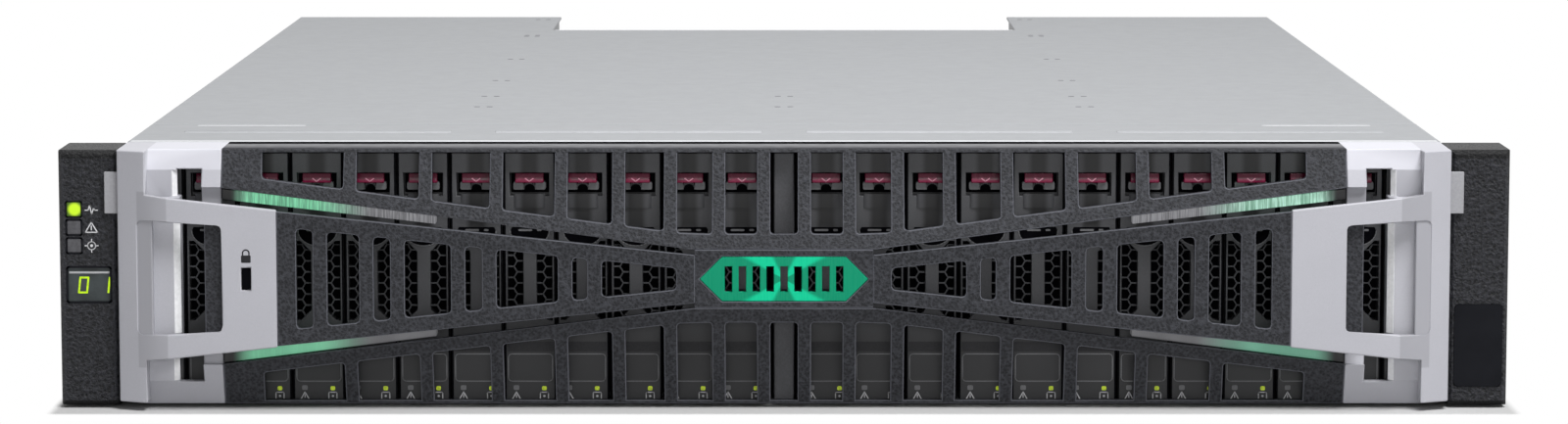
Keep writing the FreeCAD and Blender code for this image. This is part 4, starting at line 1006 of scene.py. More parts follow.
def vent_holes(name, middle_point, columns, rows, body, radius=None, pitch=None):
    """A field of vent holes on a rear sheet, drawn as black discs: painted shade of the dark inside."""
    tree_of(holes_tree).grow(
        name, "deep_black", body, Radius=radius or sizes().hole, Pitch=pitch or sizes().hole_pitch,
        Columns=columns, Rows=rows, Middle=Vector(middle_point), Turn=Vector((-math.pi / 2, 0.0, 0.0)),
    )


def screw_head(radius):
    """A low domed screw head about the origin, facing +Z."""
    work = top_slabs([ring_outline(radius, 14)], 0.0, radius * 0.28)
    return top_slabs([ring_outline(radius * 0.8, 14)], radius * 0.28, radius * 0.42, work)


def screw_cross(radius):
    """The driver cross of a screw head, a thin black cross on its top: painted shade of the recess."""
    arm, half = radius * 0.52, radius * 0.13
    work = top_slabs([oblong(-arm, arm, -half, half)], radius * 0.40, radius * 0.435)
    return top_slabs([oblong(-half, half, -arm, arm)], radius * 0.40, radius * 0.436, work)


def screws(name, places, facing, body="chassis", radius=None):
    """Screw heads at places, with black crosses painted as the shade in their recesses."""
    radius = radius or sizes().screw
    on_points(name, screw_head(radius), places, facing, "screw_steel", body)
    on_points(name + "_crosses", screw_cross(radius), places, facing, "deep_black", body)


# Chassis sheets and ears


# Rows of the cover's pressed marks, drawn dark as painted shade, from front to rear, in millimetres, and how
# far aside they lie
MARK_ROWS = (-155.1, -112.5, -44.2, 57.1, 178.5, 184.0, 277.3)
MARK_ASIDE = 109.5
# Painted highlights on the front panel's beads, in millimetres: length, width, place along Y and middles
# along X
PANEL_BEADS = (
    (38.0, 2.6, -226.5, (-185.8, 185.8)),
    (92.0, 4.6, -249.5, (-160.5, -53.5, 53.5, 160.5)),
)


def cover_marks():
    """Paired pressed marks, seam, hem and short beads of the cover and front panel: the marks, the seam and
    the line before the hem are painted shade, the beads, the panel's edge and the hem painted highlights.
    """
    top = high("top_cover").z
    mark = sizes().rivet
    spots = [(side * MARK_ASIDE, y) for y in MARK_ROWS for side in SENSES]
    spots += [(0.0, y) for y in MARK_ROWS[:2]]
    places = [(x * MM, y * MM, top) for x, y in spots]
    pair = [rounded(2.0 * mark, 1.7 * mark, 0.6 * mark, 3, (side * 2.1 * mark, 0.0)) for side in SENSES]
    on_points("cover_marks", top_slabs(pair, -0.1 * MM, 0.03 * MM), places, UP, "seam_shade")
    beads = [
        rounded(long * MM, wide * MM, 1.2 * MM, 3, (x * MM, y * MM))
        for long, wide, y, middles in PANEL_BEADS for x in middles
    ]
    # pale strips on the beads: painted highlights
    piece("panel_beads", top_slabs(beads, top - 0.2 * MM, top + 0.05 * MM), "bright_edge")
    notch, inner = high("canister_upper_ports").y, 101.0 * MM
    # the panel's edge and the hem: painted highlights; the seam and the line before the hem: painted shade
    for name, half, start, near, far, lift, material in (
        ("panel_edge", high("front_panel").x - 1.0 * MM, low("front_panel").y, 0.2, 4.5, 0.03, "bright_edge"),
        ("cover_seam", high("top_cover").x - 1.0 * MM, low("top_cover").y, 0.4, 2.6, 0.02, "worn_rivet"),
        ("notch_hem", inner, notch, -2.4, -0.5, 0.03, "bright_edge"),
        ("notch_line", inner, notch, -6.5, -4.0, 0.03, "worn_rivet"),
    ):
        strip = oblong(-half, half, start + near * MM, start + far * MM)
        piece(name, top_slabs([strip], top - 0.1 * MM, top + lift * MM), material)


# Places on the tray in millimetres: screws along the head and foot of a side, rail slots between
# them, and rivets of the floor
HEAD_SCREWS, HEAD_LEVEL = (-235.0, -120.0, 20.0, 150.0, 268.0), 74.0
FOOT_SCREWS, FOOT_LEVEL = (-180.0, -20.0, 210.0), 12.0
RAIL_SLOTS, SLOT_LEVEL = (-205.0, -65.0, 85.0, 235.0), 43.0
RIVETS_X, RIVETS_Y = (-205.0, -70.0, 70.0, 205.0), (-250.0, -90.0, 90.0, 250.0)


def side_fittings():
    """Screws, rail slots and rivets of the tray's sides and floor; the rail slots are black shapes, painted
    shade.
    """
    edge = high("chassis_tray").x
    places, ways, slots = [], [], bmesh.new()
    for sense in SENSES:
        for rows, level in ((HEAD_SCREWS, HEAD_LEVEL), (FOOT_SCREWS, FOOT_LEVEL)):
            places += [(sense * edge, y * MM, level * MM) for y in rows]
            ways += [Vector((sense, 0.0, 0.0))] * len(rows)
        outlines = [rounded(16.0 * MM, 5.0 * MM, 2.4 * MM, 4, (y * MM, SLOT_LEVEL * MM)) for y in RAIL_SLOTS]
        side_slabs(outlines, sense * edge, sense * (edge + 0.05 * MM), slots)
    screws("side_screws", places, ways)
    piece("rail_slots", slots, "deep_black")
    under = low("chassis_tray").z + 0.02 * MM
    places = [(x * MM, y * MM, under) for x in RIVETS_X for y in RIVETS_Y]
    head = top_slabs([ring_outline(2.4 * MM, 14)], -0.1 * MM, 0.05 * MM)
    on_points("floor_rivets", head, places, DOWN, "worn_rivet")


def dress_sheet_metal():
    """Finishes of the chassis sheets and the inside, with their rivets, screws and slots."""
    for node in ("chassis_tray", "front_panel", "top_cover"):
        eased(node, 0.4 * MM, "sheet_steel")
    paint("flange_steel", "rack_flange_left", "rack_flange_right")
    paint("inner_steel", "bay_wall_left", "bay_wall_right", "canister_shelf")
    paint("circuit_green", "midplane_board", "ear_board")
    paint("black_plastic", "drive_sockets", "rear_sockets")
    cover_marks()
    side_fittings()


def scaled(points):
    """Points in millimetres as metres."""
    return [(x * MM, y * MM) for x, y in points]


def digit(left, foot, segments):
    """Slanted seven-segment digit as flat outlines, millimetres in, metres out."""
    width, height, lean = 2.7, 5.0, 0.11
    ends = {
        "a": ((0, 1), (1, 1)), "b": ((1, 1), (1, 0.5)), "c": ((1, 0.5), (1, 0)), "d": ((0, 0), (1, 0)),
        "e": ((0, 0), (0, 0.5)), "f": ((0, 0.5), (0, 1)), "g": ((0, 0.5), (1, 0.5)),
    }
    strips = []
    for letter in segments:
        line = [(left + u * width + v * height * lean, foot + v * height) for u, v in ends[letter]]
        strips += stroke(scaled(line), 0.62 * MM)
    return strips


# Middle of the signs beside the lenses and level of the locator sign, in millimetres
SIGN_X, LOCATOR_Z = -230.4, 54.7


def ear_icons():
    """Pulse, warning triangle and locator signs beside the three lenses."""
    pulse = [(-2.0, 66.6), (-1.0, 66.6), (-0.5, 68.2), (0.2, 65.3), (0.8, 67.3), (1.2, 66.6), (2.2, 66.6)]
    warning = [(-2.0, 59.2), (2.0, 59.2), (0.0, 62.5)]
    stem = [(0.0, 60.0), (0.0, 61.3)]
    strips = []
    for line, width, closed in ((pulse, 0.34, False), (warning, 0.36, True), (stem, 0.36, False)):
        strips += stroke(scaled([(SIGN_X + x, z) for x, z in line]), width * MM, closed)
    centre = (SIGN_X * MM, LOCATOR_Z * MM)
    strips += stroke(ring_outline(1.35 * MM, 14, centre), 0.34 * MM, True)
    strips.append(ring_outline(0.5 * MM, 10, centre))
    for x, z in ((1.0, 0.0), (-1.0, 0.0), (0.0, 1.0), (0.0, -1.0)):
        line = [(SIGN_X + away * x, LOCATOR_Z + away * z) for away in (1.6, 2.2)]
        strips += stroke(scaled(line), 0.34 * MM)
    return strips


def front_ring(outer, inner, near, far):
    """A flat ring between two outlines in XZ of as many points, between two depths."""
    work = bmesh.new()
    corners = ((outer, near), (inner, near), (inner, far), (outer, far))
    rows = [[work.verts.new((x, y, z)) for x, z in line] for line, y in corners]
    for first, second in zip(rows, rows[1:] + rows[:1]):
        for i in range(len(outer)):
            after = (i + 1) % len(outer)
            work.faces.new((first[i], first[after], second[after], second[i]))
    return work


def around(node, margin, radius, steps):
    """Rounded outline in XZ so far round a node."""
    corner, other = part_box(node)
    centre = ((corner.x + other.x) / 2, (corner.z + other.z) / 2)
    return rounded(other.x - corner.x + margin, other.z - corner.z + margin, radius, steps, centre)


def bare_plate():
    """The bare plate on the right ear, with rounded corners, and the rim round it."""
    front = low("blank_plate").y
    work = front_slabs([around("blank_plate", 0.0, 1.6 * MM, 5)], front, high("blank_plate").y)
    edges = [edge for edge in work.edges if all(vert.co.y < front + 1e-7 for vert in edge.verts)]
    bmesh.ops.bevel(work, geom=edges, offset=0.2 * MM, segments=2, profile=0.5, affect="EDGES")
    plate = mesh_of("bare_plate", work)
    plate.shade_flat()
    obj = shown("bare_plate", plate, "gloss_black", NODES["blank_plate"]["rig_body"])
    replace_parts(obj, "blank_plate")
    face = low("ear_cover_right").y
    inner = around("blank_plate", 0.3 * MM, 1.7 * MM, 5)
    outer = around("blank_plate", 1.4 * MM, 2.0 * MM, 5)
    rim = front_ring(outer, inner, face - 0.03 * MM, face + 0.6 * MM)
    piece("plate_rim", rim, "ear_plastic")


# Middles of the three lenses in millimetres, and the left ends and foot of the display's digits
LENS_LEVELS = (66.9, 60.8, 54.7)
DIGITS_X, DIGITS_FOOT = (-235.0, -227.9), 38.9


def dress_ears():
    """Ear covers, lenses, display and the bare plate."""
    eased("ear_cover_left", 0.5 * MM, "ear_plastic")
    eased("ear_cover_right", 0.2 * MM, "ear_plastic", seat="blank_plate")
    bare_plate()
    eased("status_lenses", 0.35 * MM, "status_lens")
    paint("display_glass", "display_window")
    lens_low, lens_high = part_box("status_lenses")
    frame_size = lens_high.x - lens_low.x + 0.5 * MM
    frames = []
    for z in LENS_LEVELS:
        centre = ((lens_low.x + lens_high.x) / 2, z * MM)
        frames += stroke(rounded(frame_size, frame_size, 0.5 * MM, 2, centre), 0.55 * MM, True)
    window_low, window_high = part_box("display_window")
    digits = digit(DIGITS_X[0], DIGITS_FOOT, "abcdef") + digit(DIGITS_X[1], DIGITS_FOOT, "bc")
    rim = stroke(around("display_window", 0.4 * MM, 0.6 * MM, 2), 0.7 * MM, True)
    # a pale strip across the display glass: a painted reflection
    level = window_high.z - 1.7 * MM
    sheen = stroke([(window_low.x + 0.6 * MM, level), (window_high.x - 0.6 * MM, level)], 0.7 * MM)
    face, glass = low("ear_cover_left").y, window_low.y
    for name, outlines, near, far, material in (
        ("ear_icons", ear_icons(), face - 0.04 * MM, face + 0.1 * MM, "pale_print"),
        ("lens_frames", frames, face - 0.03 * MM, face + 0.3 * MM, "gloss_black"),
        ("display_digits", digits, glass - 0.05 * MM, glass, "lit_digit"),
        ("display_rim", rim, face - 0.05 * MM, glass, "gloss_black"),
        ("display_sheen", sheen, glass - 0.03 * MM, glass, "soft_print"),
    ):
        piece(name, front_slabs(outlines, near, far), material)


# Drive fronts


def arc(across, rise, centre, start, end, steps):
    """Points along an elliptic arc between two angles in degrees."""
    turns = [math.radians(start + (end - start) * i / steps) for i in range(steps + 1)]
    return [(centre[0] + across * math.cos(a), centre[1] + rise * math.sin(a)) for a in turns]


def drive_vents(face, head):
    """Honeycomb behind both openings of every drive front, and a black sheet behind it, painted shade."""
    low_z, high_z = 28.9 * MM, head - 29.6 * MM
    cell = sizes().cell
    mesh = tree_of(honeycomb_tree).mesh(
        "vent_cells", "vent_plastic", Cell=cell, Wall=sizes().cell_wall, Depth=1.2 * MM, Columns=5,
        Rows=int((high_z - low_z) / cell), Middle=Vector((0.0, face + 1.4 * MM, (low_z + high_z) / 2)),
    )
    before_bays("vent_cells", mesh, "vent_plastic")
    # a black sheet behind the cells: painted shade
    back = rounded(15.0 * MM, high_z - low_z + 0.6 * MM, 0.5 * MM, 2, (0.0, (low_z + high_z) / 2))
    work = front_slabs([back], face + 6.0 * MM, face + 7.0 * MM)
    before_bays("vent_backs", mesh_of("vent_backs", work), "deep_black")


def latch_marks(face, head, latch):
    """Pads and arch of every latch, and the swell below it."""
    pads = [rounded(3.4 * MM, 2.6 * MM, 0.5 * MM, 2, (x * MM, latch + 2.0 * MM)) for x in (-3.7, 3.7)]
    work = front_slabs(pads, face + 0.8 * MM, face + 4.5 * MM)
    arch = arc(2.1 * MM, 2.0 * MM, (0.0, latch + 0.9 * MM), 0.0, 180.0, 9)
    front_slabs(stroke(arch, 0.6 * MM), face + 1.0 * MM, face + 4.5 * MM, work)
    before_bays("latch_pads", mesh_of("latch_pads", work), "pad_plastic")
    swell = arc(5.2 * MM, -0.7 * MM, (0.0, face), 0.0, 180.0, 12)
    work = top_slabs([swell], head - 18.4 * MM, latch - 0.6 * MM)
    before_bays("carrier_swells", mesh_of("carrier_swells", work, 40.0), "carrier_plastic")


# How far the foot's sign and lamp lie from a bay's middle, in millimetres
SIGN_ASIDE, LAMP_ASIDE = -4.75, 4.6


def drive_signs(icon):
    """Triangle and square signs at the foot of a drive front, about a height."""
    aside, lamp_aside = SIGN_ASIDE * MM, LAMP_ASIDE * MM
    triangle = [(aside + x * MM, icon + z * MM) for x, z in ((-1.5, -1.3), (1.5, -1.3), (0.0, 1.4))]
    square = rounded(2.7 * MM, 2.6 * MM, 0.4 * MM, 2, (lamp_aside, icon))
    strips = stroke(triangle, 0.34 * MM, True) + stroke(square, 0.34 * MM, True)
    strips.append(ring_outline(0.4 * MM, 8, (lamp_aside, icon)))
    return strips + stroke([(aside, icon - 0.5 * MM), (aside, icon + 0.5 * MM)], 0.3 * MM)


def drive_marks(face, foot, head):
    """Latches, scoop, foot band, label rim, lamps and signs of every drive front; the latch recesses, scoop,
    side gaps and foot band are painted shade, two strips at the scoop painted glints.
    """
    latch, scoop = head - 13.1 * MM, head - 26.2 * MM
    latch_marks(face, head, latch)
    sized = sizes()
    # a black slab at the back of each latch recess: painted shade
    recess = rounded(sized.bay_pitch - 5.0 * MM, 7.5 * MM, 0.3 * MM, 2, (0.0, latch + 3.2 * MM))
    # the scoop and the gaps at each front's sides as black slabs: painted shade
    bowl = arc(6.5 * MM, 5.0 * MM, (0.0, scoop), 180.0, 360.0, 16)
    hollow_shades = [bowl + [(5.9 * MM, scoop + 1.3 * MM), (-5.9 * MM, scoop + 1.3 * MM)]]
    half, side = (high("drive_levers").x - low("drive_levers").x) / 2, 0.55 * MM
    edge = half - sized.bay_first - (sized.bays - 1) * sized.bay_pitch
    for sense in SENSES:
        centre = (sense * (edge - side / 2), (head + foot) / 2)
        hollow_shades.append(rounded(side, head - foot, 0.1 * MM, 1, centre))
    # a black band across each front's foot: painted shade of its recess
    foot_shade = rounded(15.6 * MM, 3.4 * MM, 0.4 * MM, 2, (0.0, foot + 18.6 * MM))
    label = rounded(14.8 * MM, 9.2 * MM, 1.2 * MM, 3, (0.0, foot + 11.5 * MM))
    rims_and_glints = stroke(label, 0.34 * MM, True) + stroke(bowl, 0.35 * MM)
    # the first two short strips lie at the scoop's top: painted glints
    for wide, tall, radius, x, z in (
        (4.6, 0.7, 0.3, -1.5, scoop + 0.3 * MM), (1.6, 0.7, 0.3, 3.2, scoop + 0.3 * MM),
        (1.9, 1.6, 0.4, SIGN_ASIDE, foot + 4.7 * MM),
    ):
        rims_and_glints.append(rounded(wide * MM, tall * MM, radius * MM, 2, (x * MM, z)))
    lamp = rounded(1.6 * MM, 1.4 * MM, 0.4 * MM, 2, (LAMP_ASIDE * MM, foot + 4.5 * MM))
    for name, outlines, near, far, material in (
        ("latch_shades", [recess], 4.2, 4.6, "deep_black"),
        ("front_hollows", hollow_shades, -0.03, 0.1, "deep_black"),
        ("foot_bands", [foot_shade], -0.03, 0.1, "black_plastic"),
        ("front_rims", rims_and_glints, -0.08, 0.1, "pad_plastic"),
        ("drive_lamps", [lamp], -0.08, 0.1, "green_lamp"),
        ("drive_signs", drive_signs(foot + 1.85 * MM), -0.05, 0.1, "soft_print"),
    ):
        work = front_slabs(outlines, face + near * MM, face + far * MM)
        before_bays(name, mesh_of(name, work), material)


def button_marks():
    """Pale chevron on every release button."""
    near, foot = low("release_buttons").y, low("release_buttons").z
    arrow = [(x * MM, z * MM + foot) for x, z in ((-1.3, 1.5), (0.0, 0.5), (1.3, 1.5))]
    work = front_slabs(stroke(arrow, 0.36 * MM), near - 0.03 * MM, near + 0.2 * MM)
    before_bays("button_marks", mesh_of("button_marks", work), "rose_print")


def dress_drives():
    """Drive fronts, buttons, carriers and guides."""
    eased("drive_levers", 0.25 * MM, "carrier_plastic")
    eased("release_buttons", 0.3 * MM, "red_button")
    eased("centre_divider", 0.4 * MM, "divider_plastic")
    paint("drive_metal", "drive_modules")
    paint("black_plastic", "drive_carriers", "guide_lower_left", "guide_upper_left")
    paint("black_plastic", "guide_lower_right", "guide_upper_right")
    face, foot, head = low("drive_levers").y, low("drive_levers").z, high("drive_levers").z
    drive_vents(face, head)
    drive_marks(face, foot, head)
    button_marks()


# Bezel


# Middle of the lock, level of its keyway and foot of its sign, in millimetres
LOCK_X, KEYWAY_Z, LOCK_FOOT = -177.9, 44.9, 50.3


def lock_fittings():
    """Black plate in the keyway, painted shade of its depth, and a plain padlock sign on the left casting."""
    front = low("end_casting_left").y
    x, foot = LOCK_X * MM, LOCK_FOOT * MM
    keyway = rounded(3.0 * MM, 7.2 * MM, 1.45 * MM, 5, (x, KEYWAY_Z * MM))
    piece("lock_keyway", front_slabs([keyway], front + 0.3 * MM, front + 1.6 * MM), "deep_black", "bezel")
    case = rounded(3.2 * MM, 2.5 * MM, 0.3 * MM, 2, (x, foot + 1.25 * MM))
    half, start = 1.05 * MM, foot + 2.4 * MM
    arch = arc(half, 1.0 * MM, (x, foot + 3.3 * MM), 0.0, 180.0, 9)
    shackle = stroke([(x + half, start)] + arch + [(x - half, start)], 0.45 * MM)
    work = front_slabs([case] + shackle, front - 0.02 * MM, front + 0.2 * MM)
    piece("lock_sign", work, "black_plastic", "bezel")


# Prisms beside the right grip opening, in millimetres: outline in XY, foot and head of each
GRIP_SHOULDER = [(214.6, -314.5), (209.5, -316.6), (209.2, -316.4), (209.2, -312.9), (214.6, -312.9)]
GRIP_BEAD = [(202.47, -313.03), (200.47, -311.03), (200.6, -310.9), (202.6, -312.9)]
GRIP_RIM = [(203.17, -310.02), (201.57, -308.42), (201.7, -308.3), (203.3, -309.9)]
SHOULDERS = ((GRIP_SHOULDER, 25.0, 64.8),)
# beads and rims: pale prisms on the chamfers beside the openings, painted highlights
BEADS = ((GRIP_BEAD, 25.9, 63.9), (GRIP_RIM, 67.9, 80.2), (GRIP_RIM, 9.6, 21.9))


def grip_fittings():
    """Shoulder at the outer side of each grip opening, and beads beside the openings in pale paint, painted
    highlights.
    """
    for name, prisms, material in (
        ("grip_shoulders", SHOULDERS, "silver_paint"), ("grip_beads", BEADS, "rubbed_bead")
    ):
        work = bmesh.new()
        for sense in SENSES:
            for outline, foot, head in prisms:
                points = [(sense * x * MM, y * MM) for x, y in outline]
                top_slabs([points], foot * MM, head * MM, work)
        piece(name, work, material, "bezel")


def dress_bezel():
    """Grille, wings, hub, light bars, castings and release tabs."""
    edge = sizes().edge
    for node in ("grille_upper", "grille_lower", "hub_frame"):
        eased(node, edge, "grille_plastic")
    for node in ("wing_left", "wing_right"):
        eased(node, 0.85 * edge, "grille_plastic")
    eased("hub_insert", 0.3 * MM, "hub_green")
    eased("light_bars", 0.25 * MM, "light_bar")
    for side in ("left", "right"):
        eased("end_casting_" + side, sizes().paint_edge, "silver_paint", ledge=1.0 * MM)
        eased("release_tab_" + side, 0.3 * MM, "tab_plastic")
    lock_fittings()
    grip_fittings()
    lip_low, lip_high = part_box("grille_upper")
    # the black strip at the lip's back is the painted shadow of the gap before the front panel; the strip
    # before it is the lip's painted reflection
    for name, near, far, material in (
        ("lip_gap", 0.2, 7.0, "deep_black"), ("lip_sheen", 7.0, 23.4, "painted_lip_reflection")
    ):
        strip = oblong(lip_low.x, lip_high.x, lip_high.y - far * MM, lip_high.y - near * MM)
        piece(name, top_slabs([strip], lip_high.z - 0.1 * MM, lip_high.z + 0.02 * MM), material, "bezel")


# Rear modules


def add_block(work, place, across, depths, heights):
    """A block about a place: half width, depths before it and heights from it, in millimetres."""
    x, rear, z = place
    outline = oblong(x - across * MM, x + across * MM, z + heights[0] * MM, z + heights[1] * MM)
    front_slabs([outline], rear - depths[0] * MM, rear - depths[1] * MM, work)


# Ports of a canister in millimetres from its middle: four small cages, a jack and a wide connector,
# with their lamps (place and rise)
CAGES, JACK, WIDE = (-46.0, -28.5, -11.0, 6.5), 34.0, 60.0
PORT_LAMPS = [(x + 3.0 * side, 9.0) for x in CAGES for side in SENSES]
PORT_LAMPS += [(JACK, 9.0), (WIDE, 9.0), (80.0, 6.0), (85.0, 6.0)]


def port_fittings(stem, body, rear, z):
    """Contact blocks, gold contacts and lamps of one canister's ports."""
    blocks, gold = bmesh.new(), bmesh.new()
    for x in CAGES:
        add_block(blocks, (x * MM, rear, z), 5.6, (30.0, 16.0), (-1.2, 1.2))
        add_block(gold, (x * MM, rear, z), 4.8, (16.0, 15.2), (0.2, 0.8))
    for pin in range(8):
        add_block(gold, ((JACK - 3.6 + pin * 7.2 / 7) * MM, rear, z), 0.2, (12.0, 4.0), (3.2, 3.6))
    add_block(blocks, (JACK * MM, rear, z), 6.1, (13.8, 12.6), (-5.4, 5.4))
    for sense in SENSES:
        add_block(blocks, ((JACK + sense * 5.9) * MM, rear, z), 0.3, (12.6, 0.4), (-5.4, 5.4))
        add_block(blocks, (JACK * MM, rear, z + sense * 5.2 * MM), 6.1, (12.6, 0.4), (-0.3, 0.3))
    add_block(blocks, (WIDE * MM, rear, z), 9.5, (20.0, 5.0), (-0.9, 0.9))
    add_block(gold, (WIDE * MM, rear, z), 8.8, (10.0, 5.4), (0.9, 1.0))
    piece(stem + "_port_blocks", blocks, "black_plastic", body)
    piece(stem + "_port_gold", gold, "gold_contact", body)
    places = [(x * MM, rear, z + up * MM) for x, up in PORT_LAMPS]
    pip = top_slabs([ring_outline(0.8 * MM, 10)], -0.1 * MM, 0.12 * MM)
    on_points(stem + "_lamps", pip, places, REARWARD, "green_lamp", body)


def dress_canisters():
    """Controller canisters, their boards, ports and levers."""
    for stem in ("canister_lower", "canister_upper"):
        body = NODES[stem + "_housing"]["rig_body"]
        paint("sheet_steel", stem + "_housing")
        paint("circuit_green", stem + "_board")
        paint("port_metal", stem + "_ports")
        for side in ("left", "right"):
            eased(stem + "_lever_" + side, 0.35 * MM, "lever_plastic")
        rear, floor = high(stem + "_ports").y, low(stem + "_board").z - 6.0 * MM
        port_fittings(stem, body, rear, floor + 25.0 * MM)
        sheet = rear + 0.04 * MM
        head, foot = (0.0, sheet, floor + 37.6 * MM), (0.0, sheet, floor + 11.0 * MM)
        vent_holes(stem + "_vents", head, 50, 2, body, 1.1 * MM, 3.2 * MM)
        vent_holes(stem + "_foot_vents", foot, 30, 3, body)
        places = [(x * MM, rear, floor + z * MM) for x in (-95.0, 95.0) for z in (22.0, 36.0)]
        screws(stem + "_screws", places, REARWARD, body, 2.0 * MM)


# On a power module in millimetres: half spacing of the fan's screws, level of the vents, level and
# half spacing of the lamps, and the three pins of the inlet from its middle
FAN_REACH, VENT_LEVEL, LAMP_LEVEL, LAMP_REACH = 34.0, 76.5, 42.0, 8.0
INLET_PINS = ((0.0, 3.4), (-6.5, -1.6), (6.5, -1.6))


def dress_power_modules():
    """Power modules with fans, inlets, switches and pull handles."""
    for side in ("left", "right"):
        body = NODES["power_housing_" + side]["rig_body"]
        paint("sheet_steel", "power_housing_" + side)
        paint("inner_steel", "fan_guard_" + side)
        paint("black_plastic", "fan_rotor_" + side)
        eased("mains_inlet_" + side, 0.4 * MM, "black_plastic")
        eased("power_switch_" + side, 0.3 * MM, "black_plastic")
        eased("pull_handle_" + side, 0.6 * MM, "lever_plastic")
        rear = high("fan_guard_" + side).y
        plate = rear - 1.0 * MM
        fan, inlet = middle("fan_guard_" + side), middle("mains_inlet_" + side)
        reach = FAN_REACH * MM
        places = [(fan.x + a * reach, rear, fan.z + b * reach) for a in SENSES for b in SENSES]
        screws("fan_screws_" + side, places, REARWARD, body, 2.2 * MM)
        vent_holes("power_vents_" + side, (inlet.x, plate + 0.04 * MM, VENT_LEVEL * MM), 8, 3, body)
        places = [(inlet.x + sense * LAMP_REACH * MM, plate, LAMP_LEVEL * MM) for sense in SENSES]
        pip = top_slabs([ring_outline(1.3 * MM, 12)], -0.1 * MM, 0.2 * MM)
        on_points("power_lamps_" + side, pip, places, REARWARD, "green_lamp", body)
        pins = bmesh.new()
        for x, z in INLET_PINS:
            place = (inlet.x + x * MM, plate, inlet.z + z * MM)
            add_block(pins, place, 1.0, (16.0, 3.0), (-2.4, 2.4))
        piece("inlet_pins_" + side, pins, "screw_steel", body)


# Studio


def step(tree, operation, first, second=0.0):
    """One arithmetic step in a studio material."""
    node = tree.nodes.new("ShaderNodeMath")
    node.operation = operation
    for socket, value in zip(node.inputs, (first, second)):
        if isinstance(value, bpy.types.NodeSocket):
            tree.links.new(value, socket)
        else:
            socket.default_value = value
    return node.outputs[0]


def white_where_seen(tree):
    """A light path test for the rays that see the background: camera, glossy and transmission."""
    seen = tree.nodes.new("ShaderNodeLightPath").outputs
    total = step(tree, "MAXIMUM", seen["Is Camera Ray"], seen["Is Glossy Ray"])
    return step(tree, "MAXIMUM", total, seen["Is Transmission Ray"])


def blended(tree, factor, first, second, output):
    """Ends a studio material in two shaders mixed by a factor."""
    blend = tree.nodes.new("ShaderNodeMixShader")
    for socket, value in zip(blend.inputs, (factor, first, second)):
        tree.links.new(value, socket)
    tree.links.new(blend.outputs["Shader"], tree.nodes[output].inputs["Surface"])


def outside_footprint(tree):
    """Distance of a floor point from the array's footprint, in metres."""
    coords = tree.nodes.new("ShaderNodeTexCoord")
    split = tree.nodes.new("ShaderNodeSeparateXYZ")
    tree.links.new(coords.outputs["Object"], split.inputs["Vector"])
    squares = []
    for axis in (0, 1):
        near, far = CAD_BOX[0][axis], CAD_BOX[1][axis]
        away = step(tree, "ABSOLUTE", step(tree, "SUBTRACT", split.outputs[axis], (near + far) / 2))
        beyond = step(tree, "MAXIMUM", step(tree, "SUBTRACT", away, (far - near) / 2))
        squares.append(step(tree, "POWER", beyond, 2.0))
    return step(tree, "SQRT", step(tree, "ADD", *squares))


# Half width of the floor, and the rim round the footprint over which it turns white, in metres
FLOOR_HALF, SHADOW_EDGE = 9.0, 0.004


def studio_floor():
    """A pale floor that keeps the object's shadow and runs out to white."""
    mesh = bpy.data.meshes.new("studio_floor")
    corners = [(x, y, 0.0) for x, y in oblong(-FLOOR_HALF, FLOOR_HALF, -FLOOR_HALF, FLOOR_HALF)]
    mesh.from_pydata(corners, [], [(0, 1, 2, 3)])
    obj = scene_object("studio_floor", mesh)
    material = bpy.data.materials.new("studio_floor")
    material.use_nodes = True
    tree = material.node_tree
    shader = tree.nodes["Principled BSDF"]
    shader.inputs["Base Color"].default_value = (*colours().floor, 1.0)
    shader.inputs["Roughness"].default_value = 0.9
    shader.inputs["Specular IOR Level"].default_value = 0.1
    away = tree.nodes.new("ShaderNodeMapRange")
    away.interpolation_type = "SMOOTHSTEP"
    away.inputs["From Min"].default_value = 0.0
    away.inputs["From Max"].default_value = SHADOW_EDGE
    tree.links.new(outside_footprint(tree), away.inputs["Value"])
    seen = step(tree, "MULTIPLY", away.outputs["Result"], white_where_seen(tree))
    white = tree.nodes.new("ShaderNodeEmission")
    blended(tree, seen, shader.outputs["BSDF"], white.outputs["Emission"], "Material Output")
    mesh.materials.append(material)


def studio_sky():
    """Even light from all round, white where it is seen."""
    world = bpy.data.worlds.new("studio_sky")
    bpy.context.scene.world = world
    world.use_nodes = True
    tree = world.node_tree
    plain, white = tree.nodes["Background"], tree.nodes.new("ShaderNodeBackground")
    for node, strength in ((plain, studio().sky), (white, 1.0)):
        node.inputs["Color"].default_value = (1.0, 1.0, 1.0, 1.0)
        node.inputs["Strength"].default_value = strength
    seen = white_where_seen(tree)
    blended(tree, seen, plain.outputs["Background"], white.outputs["Background"], "World Output")


LIGHT_AIM = Vector((0.0, -0.1, 0.04))


def studio_light(name, place, size, power):
    """A soft oblong light that faces the array's middle."""
    data = bpy.data.lights.new(name, "AREA")
    data.shape = "RECTANGLE"
    data.size, data.size_y = size
    data.energy = power
    obj = scene_object(name, data)
    obj.location = place
    obj.rotation_euler = (LIGHT_AIM - Vector(place)).to_track_quat("-Z", "Y").to_euler()


def studio_camera():
    """The camera at the photograph's place, a little above the cover and level with its middle."""
    data = bpy.data.cameras.new("studio_camera")
    data.sensor_width = 36.0
    data.lens = studio().lens
    data.clip_start, data.clip_end = 0.01, 50.0
    obj = scene_object("studio_camera", data)
    obj.location = (0.0, -studio().back, studio().up)
    obj.rotation_euler = (math.pi / 2 - studio().tilt, 0.0, 0.0)
    bpy.context.scene.camera = obj


